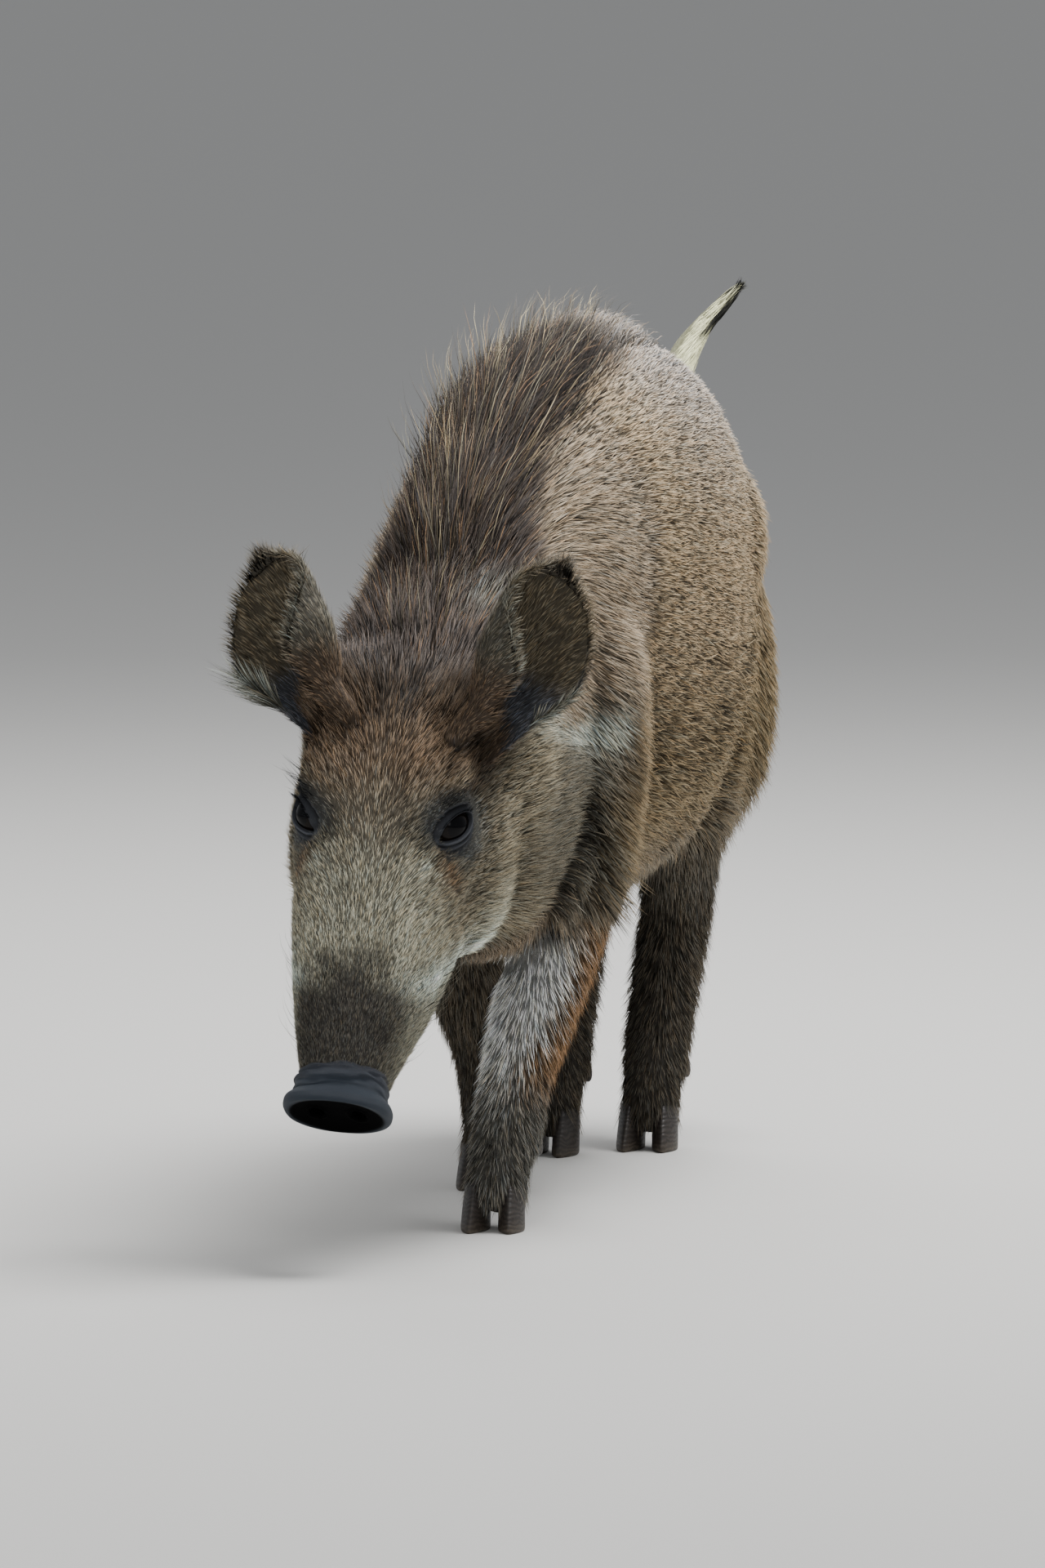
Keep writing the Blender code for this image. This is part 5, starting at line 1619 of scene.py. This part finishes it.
under = haired * (tri.leg < 0.4) * (tri.head < 0.3)
brisket = under * ramp(0.085, 0.060, abs(tri.x - SHIFT[0])) * ramp(112, 140, tri.round)
brisket = brisket * mix(1.0, 2.4, ramp(-0.24, -0.30, tri.spine)) * ramp(-0.15, -0.20, tri.spine)
brisket = brisket * (tri.spine > -0.44)
grow("brisket_hair", "coat", "trunk", brisket, 6000, 64, hair, steps=2, size=same_size(0.048, 0.00110, 0.80))
fringe = under * ramp(-0.22, -0.18, tri.spine) * ramp(0.19, 0.15, tri.spine)
fringe = fringe * bell(tri.round, 150, 26) * (tri.z > 0.18)
grow("belly_fringe", "coat", "trunk", fringe, 7000, 63, hair, steps=2, size=same_size(0.036, 0.00110, 0.62))


# %% Ear fringe
def fringe_size(at):
    """Long at the lower rear edge, shorter on the front fold.

    The left ear stands at the outer edge of the whole boar, so its long hairs are about half the right's.
    """
    rear = np.zeros(len(at.x), bool)
    for code, side in EARS:
        angle = ear_coordinates(at.points, side)[1]
        rear = np.where(at.part == code, angle > 0, rear)
    long = np.where(at.left_side, 0.017, 0.032)
    return np.where(rear, long, 0.011), np.where(rear, 0.00055, 0.00050), np.where(rear, 0.34, 0.40)


def edge_of_ear(at):
    """1 along the lower part of an ear's rear edge, and 0.15 along that of its front edge."""
    found = np.zeros(len(at.x))
    for code, side in EARS:
        rise, angle, _, curl = ear_coordinates(at.points, side)
        rear = ramp(0.86, 0.97, angle / curl) * ramp(0.36, 0.20, rise)
        front = 0.15 * ramp(1.00, 1.22, -angle / curl) * ramp(0.70, 0.45, rise)
        found += (at.part == code) * np.maximum(rear, front) * ramp(0.0, 0.08, rise)
    return found


def fringe_tint(at, rng):
    """From pale to the colour of the ear's fold, more of them like the fold."""
    return mix(np.array(COAT.pale) * 0.6, COAT.ear_fold, rng.uniform(0, 1, len(at.x)) ** 0.7)


grow(
    "ear_fringe", "ear_coat", "ears", edge_of_ear(tri), 900, 65, hair,
    steps=2, size=fringe_size, tint=fringe_tint,
)


# %% Tail brush
BRUSH_LOW = 0.545  # height at which the brush begins


def tail_brush(count=2600):
    """Hair whose every tuft points at one place past the tail's end, so that the brush tapers to a tip."""
    roots = scatter(tri.tail * ramp(0.540, 0.555, tri.z), count, 55)
    rng, rows = roots.rng, shifted(TAIL)
    tip = rows[-1, :3] + unit(rows[-1, :3] - rows[-2, :3]) * 0.017
    way = tip + rng.normal(0, 0.0011, (count, 3)) - roots.points
    away = np.linalg.norm(way, axis=1)
    ways, length = unit(way), np.minimum(rng.uniform(0.020, 0.034, count), away)
    square = roots.normals - ways * (roots.normals * ways).sum(axis=1, keepdims=True)
    roots.normals = unit(square + 0.01 * SIDEWAYS)
    lift = np.where(length < away, 0.20, 0.0)
    tufts = spikes(roots, ways, length, np.full(count, 0.00090), lift, 0.34, steps=3)
    axis = np.stack([np.interp(roots.points[:, 2], rows[:, 2], rows[:, k]) for k in (0, 1)], -1)
    across = (roots.points[:, :2] - axis) @ (OUT_X, OUT_Y) / 0.006
    share = (roots.points[:, 2] - BRUSH_LOW) / (rows[-1, 2] - BRUSH_LOW)
    dark = ramp(0.0, 0.4, across) * ramp(0.36, 0.52, share) + ramp(0.86, 0.95, share)
    colour = mix(COAT.tail, COAT.tail_dark, np.clip(dark, 0, 1))
    return tufts, opaque(colour * rng.uniform(0.75, 1.15, (count, 1)))


coat_piece("tail_hair", "tail_coat", "tail", *tail_brush(), hair)


# %% Lashes, brow bristles and whiskers
def lash_roots(rng, count=70):
    """Roots along the outer two thirds of the upper lid's margin; the lashes point out and a little up."""
    t = rng.uniform(0.05, 0.72, count) * math.pi
    a, c = LID_LONG * np.cos(t), (LID_ABOVE + 0.0006) * np.sin(t) * abs(np.sin(t)) ** 0.2
    d = np.sqrt((EYE.radius + 0.0022) ** 2 - a**2 - c**2)
    along = 0.5 * np.cos(t) + rng.normal(0, 0.12, count)
    way = np.stack([along, 0.25 + rng.normal(0, 0.1, count), np.ones(count)], -1)
    return np.stack([a, c, d], -1), way, rng.uniform(0.006, 0.0115, count)


def brow_roots(side, rng, count=34):
    """Roots of the long stiff hairs over each eye, taken from the skin itself."""
    a, c, d = eye_coordinates(skin_points, side).T
    there = np.flatnonzero((abs(a - 0.010) < 0.013) & (abs(c - 0.0215) < 0.006) & (d > 0))
    place = np.stack([a, c, d], -1)[rng.choice(there, count)]
    way = np.stack([rng.normal(0.5, 0.25, count), rng.normal(0.35, 0.2, count), np.ones(count)], -1)
    return place, way, rng.uniform(0.012, 0.026, count)


def eye_bristles(seed=71):
    """Lashes and brow bristles of both eyes as one set of spikes in three steps."""
    rng, sets = np.random.default_rng(seed), []
    for side in (1, -1):
        axes, centre = eye_axes(side), head_point(EYE.back, side * EYE.left, EYE.up)
        for place, way, length in (lash_roots(rng), brow_roots(side, rng)):
            upper = np.repeat(axes[1][None], len(way), axis=0)
            sets.append((centre + place @ axes, unit(way) @ axes, upper, length))
    points, ways, normals, length = (np.concatenate(group) for group in zip(*sets))
    normals = laid_flat(normals, ways)
    roots = SimpleNamespace(points=points, normals=normals, part=np.zeros(len(points), int), rng=rng)
    count = len(points)
    width, lift = np.full(count, 0.00050), np.full(count, 0.05)
    tufts = spikes(roots, ways, length, width, lift, -0.35, steps=3, sink=0.0)
    return tufts, opaque(np.tile((0.022, 0.024, 0.028), (count, 1)))


coat_piece("lashes", "face_coat", "head", *eye_bristles(), hair)


def whisker_tint(at, rng):
    """The same pale brown everywhere."""
    return np.tile((0.16, 0.15, 0.12), (len(at.x), 1))


whiskers = haired * on_face * ramp(0.16, 0.12, tri.back) * ramp(0.035, 0.05, tri.back)
whiskers *= ramp(0.01, -0.01, tri.up)
grow(
    "whiskers", "face_coat", "head", whiskers, 130, 67, hair,
    steps=3, size=same_size(0.030, 0.00050, 0.75), tint=whisker_tint,
)

# %% [markdown]
# ## Eyes
#
# A boar's eye is small, wet and so dark that pupil and iris are hardly told apart. The eyeball is a ball
# with a slight swelling for the cornea, spun round the way the eye looks. Its colour depends only on the
# angle from there, so that angle is stored on its points, and no image or unwrapping is needed.


# %% Eyeballs
def eyeball(side, rows=48, columns=64):
    """A ball of radius r (1 + 0.045 e^-(a/0.55)^2) less 0.1 mm, a being the angle from the way it looks."""
    angle = np.linspace(0.02, math.pi - 0.02, rows)[:, None]
    turn = np.arange(columns)[None] * 2 * math.pi / columns
    radius = EYE.radius * (1 + 0.045 * bell(angle, 0, 0.55)) - 0.0001
    axes = eye_axes(side)
    grid = head_point(EYE.back, side * EYE.left, EYE.up) + (sphere(angle, turn) * radius[..., None]) @ axes
    points, faces = tube_mesh(grid, flip=np.linalg.det(axes) < 0)
    return points, faces, np.concatenate([np.repeat(angle[:, 0], columns), [0, math.pi]])


EYE_ZONES = [  # share of the half turn from the pupil's middle to the back, and the colour there
    (0.0, (0.0015, 0.0015, 0.002)),  # pupil
    (0.15, (0.0015, 0.0015, 0.002)),
    (0.18, (0.0060, 0.0040, 0.0030)),  # iris
    (0.34, (0.0050, 0.0035, 0.0028)),
    (0.38, (0.002, 0.002, 0.002)),  # the dark ring round the iris
    (0.45, (0.010, 0.009, 0.009)),  # the white, dim in the shade of the lids
]


def eye_material():
    """Wet and very dark, with zones by the stored angle and faint fibres."""
    made, tree, sockets = new_material("eye", 0.07, IOR=1.36, Specular_IOR_Level=0.20)
    zones = bands(tree, maths(tree, "DIVIDE", attribute(tree, "polar", "Fac"), 3.1416), EYE_ZONES)
    noise = add_node(tree, "TexNoise", Scale=1400.0, Detail=2.0).outputs["Fac"]
    fibres = bands(tree, noise, [(0.3, 0.6), (0.7, 1.3)])
    tree.links.new(shaded(tree, zones, fibres, 0.6), sockets["Base Color"])
    return made


eye_look = eye_material()
for side, name in ((1, "left"), (-1, "right")):
    points, faces, polar = eyeball(side)
    ball = new_object(f"eyeball_{name}", points, faces, eye_look)
    paint(ball.data, "polar", polar)
    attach(ball, "root")
    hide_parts(f"eye_{name}")
print("eyes: two balls of", EYE.radius * 2000, "mm")

# %% [markdown]
# ## Nose disc
#
# The disc that a boar roots with is bare gristle. It could be carved out of a cylinder, but one profile
# carried round an oval gives it all in one sheet: wrinkles where the sleeve of skin folds behind it, a
# swollen rim, and a slightly dished face with two nostrils pressed in.

# %% Nose disc
NOSE_WIDTH, NOSE_HEIGHT = 0.0785, 0.0600
NOSE_PROFILE = np.array(  # distance back from the face, and share of the oval's size
    [
        (0.0275, 0.770), (0.0255, 0.800), (0.0232, 0.828), (0.0212, 0.812), (0.0188, 0.846), (0.0162, 0.858),
        (0.0146, 0.834), (0.0128, 0.852), (0.0104, 0.874), (0.0088, 0.866), (0.0066, 0.905), (0.0045, 0.968),
        (0.0015, 0.998), (-0.0012, 0.998), (-0.0036, 0.975), (-0.0050, 0.930), (-0.0052, 0.870),
        (-0.0044, 0.80), (-0.0034, 0.70), (-0.0026, 0.58), (-0.0022, 0.44), (-0.0020, 0.30),
        (-0.0020, 0.15), (-0.0020, 0.04),
    ]
)


def nose_disc(columns=96):
    """The bare end of the snout, a profile carried round an oval.

    Behind the rim the sleeve follows the muzzle with three wrinkles, and in front the profile turns in to a
    dished face, into which the two nostrils are pressed.
    """
    steps = NOSE_PROFILE
    at = np.linspace(0, len(steps) - 1, (len(steps) - 1) * 3 + 1)
    back, share = smooth_between(np.arange(len(steps)), steps, at).T
    angle = np.arange(columns)[None] * 2 * math.pi / columns
    cos, sin = np.cos(angle), np.sin(angle)
    back, share = back[:, None], share[:, None]
    rear = ramp(0.004, 0.02, back)
    power = 2 / 2.3
    left = NOSE_WIDTH / 2 * share * np.sign(cos) * abs(cos) ** power
    up = NOSE_HEIGHT / 2 * share * np.sign(sin) * abs(sin) ** power
    up = up * (1 + 0.10 * rear * (sin > 0))
    rim = bell(share, 0.97, 0.05)
    back = back - 0.0018 * rim * ramp(0.3, 1.0, sin) + 0.0012 * rim * ramp(-0.2, -1.0, sin)
    wrinkle = 0.0016 * np.sin(2 * angle + 0.7) + 0.0011 * np.sin(3 * angle + 400 * back)
    wrinkle = wrinkle + 0.0007 * np.sin(7 * angle - 300 * back)
    back = back + wrinkle * ramp(0.004, 0.012, back)
    swell = 1 + rear * (0.020 * np.sin(4 * angle + 500 * back) + 0.012 * np.sin(9 * angle - 700 * back))
    left, up = left * swell, up * swell
    for side in (1, -1):
        hole = np.hypot((left - side * 0.0150) / 0.0052, (up + 0.001) / 0.0068)
        front = ramp(0.001, -0.002, back)
        back = back + front * (0.0075 * ramp(1.05, 0.75, hole) - 0.0010 * bell(hole, 1.35, 0.22))
    back = back + 0.0007 * bell(left, 0, 0.0018) * ramp(0.85, 0.6, share) * ramp(0, -0.02, -abs(up) + 0.02)
    return tube_mesh(head_point(back, left, up))


def nose_material():
    """Bare damp skin with fine pores; how far it shines is stored on its points."""
    made, tree, sockets = new_material("nose skin", 0.52)
    tree.links.new(attribute(tree, "gloss", "Fac"), sockets["Specular IOR Level"])
    grain = add_node(tree, "TexVoronoi", Scale=620.0)
    fine = add_node(tree, "TexNoise", Scale=240.0, Detail=4.0).outputs["Fac"]
    pores = bands(tree, grain.outputs["Distance"], [(0.0, 0.55), (0.35, 1.0)])
    colour = shaded(tree, attribute(tree, "tint"), pores, 0.5)
    mottle = bands(tree, fine, [(0.3, 0.6), (0.7, 1.4)])
    tree.links.new(shaded(tree, colour, mottle, 0.6), sockets["Base Color"])
    height = maths(tree, "ADD", grain.outputs["Distance"], fine)
    bump = add_node(tree, "Bump", Height=height, Strength=0.55, Distance=0.0006)
    tree.links.new(bump.outputs[0], sockets["Normal"])
    return made


points, faces = nose_disc()
nose = new_object("nose_disc_skin", points, faces, nose_material())
back, left, up = head_coordinates(points).T
rim_share = np.hypot(left / (NOSE_WIDTH / 2), up / (NOSE_HEIGHT / 2))
rim_share = np.maximum(ramp(0.84, 0.93, rim_share), ramp(0.001, 0.006, back) * ramp(0.60, 0.70, rim_share))
# The disc's face is near black, its own dark skin and painted shade; the rim and the sleeve are bluish grey.
nose_tint = mix((0.0014, 0.0014, 0.0016), (0.024, 0.032, 0.044), rim_share)
nose_tint = mix(nose_tint, (0.028, 0.032, 0.042), ramp(0.010, 0.024, back))
paint(nose.data, "gloss", 0.01 + 0.27 * rim_share)
paint(nose.data, "tint", opaque(nose_tint))
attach(nose, "root")
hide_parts("nose_disc")
print("nose disc:", len(nose.data.polygons), "faces")

# %% [markdown]
# ## Hooves
#
# A boar stands on two claws to each foot, with two dewclaws behind. A box could be bevelled into a claw,
# but a stack of outlines, from the flat sole to the top under the hair, follows its slope better. Each
# outline is pointed in front and straighter on the inside. Growth rings are small waves up the wall.

# %% Claws
HOOF_LENGTH, HOOF_WIDTH, HOOF_APART = 0.052, 0.0215, 0.0120
FOOT_WAY = dict(foreleg_left=6.0, foreleg_right=0.0, hindleg_left=4.0, hindleg_right=-2.0)
HOOF_LEVELS = np.array(  # height, share of the length, share of the width, how far it sits back
    [
        (0.0000, 0.95, 0.93, -0.0020), (0.0006, 0.97, 0.97, -0.0020), (0.003, 0.995, 1.00, -0.0020),
        (0.014, 0.91, 0.99, 0.0010), (0.024, 0.80, 0.96, 0.0045), (0.031, 0.72, 0.92, 0.0066),
        (0.0345, 0.62, 0.80, 0.0076),
    ]
)


def claw(foot, side, columns=44):
    """One claw: outline (sin t, -cos t), narrowed to the toe and scaled by the levels on its way up."""
    x, y = shifted(LEGS[foot])[-1, :2] + (0, -0.007)
    turn = math.radians(FOOT_WAY[foot] + 5 * side)
    at = np.linspace(0, len(HOOF_LEVELS) - 1, 30)
    height, long, wide, back_by = smooth_between(np.arange(len(HOOF_LEVELS)), HOOF_LEVELS, at).T[..., None]
    angle = np.arange(columns)[None] * 2 * math.pi / columns
    across, back = np.sin(angle), -np.cos(angle)
    across = across * (1 - 0.45 * np.maximum(0, -back) ** 2) * np.where(across * side < 0, 0.80, 1.0)
    waves = np.sin(height * 1900 + 30 * np.sin(height * 260) + 0.8 * np.sin(3 * angle))
    rings = 1 + 0.0040 * waves * ramp(0.002, 0.006, height)
    left = side * HOOF_APART + across * HOOF_WIDTH / 2 * wide * rings
    behind = back * HOOF_LENGTH / 2 * long * rings + back_by
    grid = np.stack(
        [
            x + left * math.cos(turn) - behind * math.sin(turn),
            y + left * math.sin(turn) + behind * math.cos(turn),
            height + 0 * left,
        ],
        -1,
    )
    return tube_mesh(grid)


def dewclaw(foot, side):
    """A blunt hanging cone behind the fetlock, slightly flattened."""
    fetlock = shifted(LEGS[foot])[-3]
    root = fetlock[:3] + (side * 0.0125, 0.0140, 0.000)
    way = unit((side * 0.26, 0.46, -0.84))
    across = unit(np.cross(way, (0, 1, 0)))
    share = np.array((-0.15, 0.10, 0.35, 0.60, 0.80, 0.92, 0.98))[:, None]
    width = 0.0068 * np.array((0.9, 0.98, 1.0, 0.86, 0.64, 0.40, 0.18))[:, None]
    angle = np.arange(20)[None] * 2 * math.pi / 20
    spoke = np.cos(angle)[..., None] * across + 0.8 * np.sin(angle)[..., None] * np.cross(way, across)
    return tube_mesh(root + (share * 0.023)[..., None] * way + spoke * width[..., None])


def horn_material():
    """Dark horn, browner and dustier near the ground, with faint rings and grain."""
    made, tree, sockets = new_material("horn", 0.5, Specular_IOR_Level=0.4)
    place = add_node(tree, "NewGeometry").outputs["Position"]
    parts = add_node(tree, "SeparateXYZ", Vector=place).outputs
    upright = {"bands_direction": "Z"}
    lines = add_node(tree, "TexWave", upright, Vector=place, Scale=90.0, Distortion=9.0, Detail=3.0)
    grain = add_node(tree, "TexNoise", Vector=place, Scale=500.0, Detail=4.0).outputs["Fac"]
    dust = [(0.02, (0.070, 0.055, 0.040)), (0.25, (0.034, 0.027, 0.022)), (1.0, (0.024, 0.020, 0.018))]
    low = bands(tree, maths(tree, "MULTIPLY", parts["Z"], 30.0), dust)
    shade = bands(tree, maths(tree, "MULTIPLY", lines.outputs["Fac"], grain), [(0.1, 0.6), (0.5, 1.3)])
    tree.links.new(shaded(tree, low, shade, 0.8), sockets["Base Color"])
    height = maths(tree, "ADD", lines.outputs["Fac"], grain)
    bump = add_node(tree, "Bump", Height=height, Strength=0.4, Distance=0.0005)
    tree.links.new(bump.outputs[0], sockets["Normal"])
    return made


horn = horn_material()
for foot in LEGS:
    for kind, make in (("hoof", claw), ("dewclaw", dewclaw)):
        pair = new_object(f"{kind}s_{foot}", *join(make(foot, 1), make(foot, -1)), horn)
        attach(pair, "root")
        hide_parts(f"{kind}_{foot}_left", f"{kind}_{foot}_right")
print("claws and dewclaws on", len(LEGS), "feet")

# %% [markdown]
# ## Floor, light and camera
#
# A plain pale floor, one broad soft light from above and to the boar's left, and weaker ones from the front
# and from behind. The camera stands 12 m away and 1.5 m up, a little to the boar's left of straight ahead,
# because a long lens keeps the head and the rump in their true proportion.

# %% Studio
FLOOR_REACH = 25.0  # how far the floor reaches from its middle
floor_corners = FLOOR_REACH * np.array([(-1, -1, 0), (1, -1, 0), (1, 1, 0), (-1, 1, 0)])
floor = new_object("floor", floor_corners, [np.array([(0, 1, 2, 3)])])
made, tree, sockets = new_material("floor", 0.85)
sockets["Base Color"].default_value = (0.56, 0.55, 0.53, 1)
floor.data.materials.append(made)
floor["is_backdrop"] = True

world = bpy.data.worlds.new("studio")
bpy.context.scene.world = world
world.use_nodes = True
world.node_tree.nodes["Background"].inputs["Color"].default_value = (0.93, 0.96, 1.0, 1)
world.node_tree.nodes["Background"].inputs["Strength"].default_value = 0.42


def aim(thing, start, end):
    """Puts a light or camera at start with its -Z axis towards end and its Y axis up."""
    way = unit(np.subtract(end, start))
    right = unit(np.cross(way, UPWARDS))
    up = np.cross(right, way)
    matrix = np.eye(4)
    matrix[:3, 0], matrix[:3, 1], matrix[:3, 2], matrix[:3, 3] = right, up, -way, start
    thing.matrix_world = Matrix(matrix.tolist())


for name, start, size, power in (
    ("key", (0.8, 0.7, 3.0), 1.5, 175.0),
    ("front", (0.2, -3.3, 1.9), 2.4, 42.0),
    ("rim", (-0.7, 2.3, 2.3), 1.6, 38.0),
):
    light = bpy.data.lights.new(name, "AREA")
    light.energy, light.size = power, size
    lamp = bpy.data.objects.new(name, light)
    bpy.context.scene.collection.objects.link(lamp)
    aim(lamp, start, (0, 0, 0.32))

CAMERA_AWAY, CAMERA_HIGH, CAMERA_TURN = 12.0, 1.5, math.radians(13.6)
FOCAL = 10.6109  # focal length over the picture's height
LOOK_DOWN = math.radians(5.6847)  # how far below level the camera looks
LOOK_ASIDE = math.radians(0.0281)  # how far to the side of the withers it looks
withers = np.array([0, -0.20, 0]) + SHIFT
camera_at = withers + (CAMERA_AWAY * math.sin(CAMERA_TURN), -CAMERA_AWAY * math.cos(CAMERA_TURN), CAMERA_HIGH)
turned = rotated((withers - camera_at)[None] * (1, 1, 0), UPWARDS, -LOOK_ASIDE)[0]
look = unit(turned) * math.cos(LOOK_DOWN) - UPWARDS * math.sin(LOOK_DOWN)
lens = bpy.data.cameras.new("camera")
lens.sensor_fit, lens.sensor_height, lens.lens, lens.clip_end = "VERTICAL", 36, 36 * FOCAL, 100
camera = bpy.data.objects.new("camera", lens)
bpy.context.scene.collection.objects.link(camera)
aim(camera, camera_at, camera_at + look)
bpy.context.scene.camera = camera

# %% Sizes, and the end
sizes = {"cad": cad_box, "visual": [list(corner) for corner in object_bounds()]}
grown = 1000 * (np.array(sizes["visual"]) - np.array(cad_box))
print("box less the CAD box, mm:", grown.round(1).tolist())
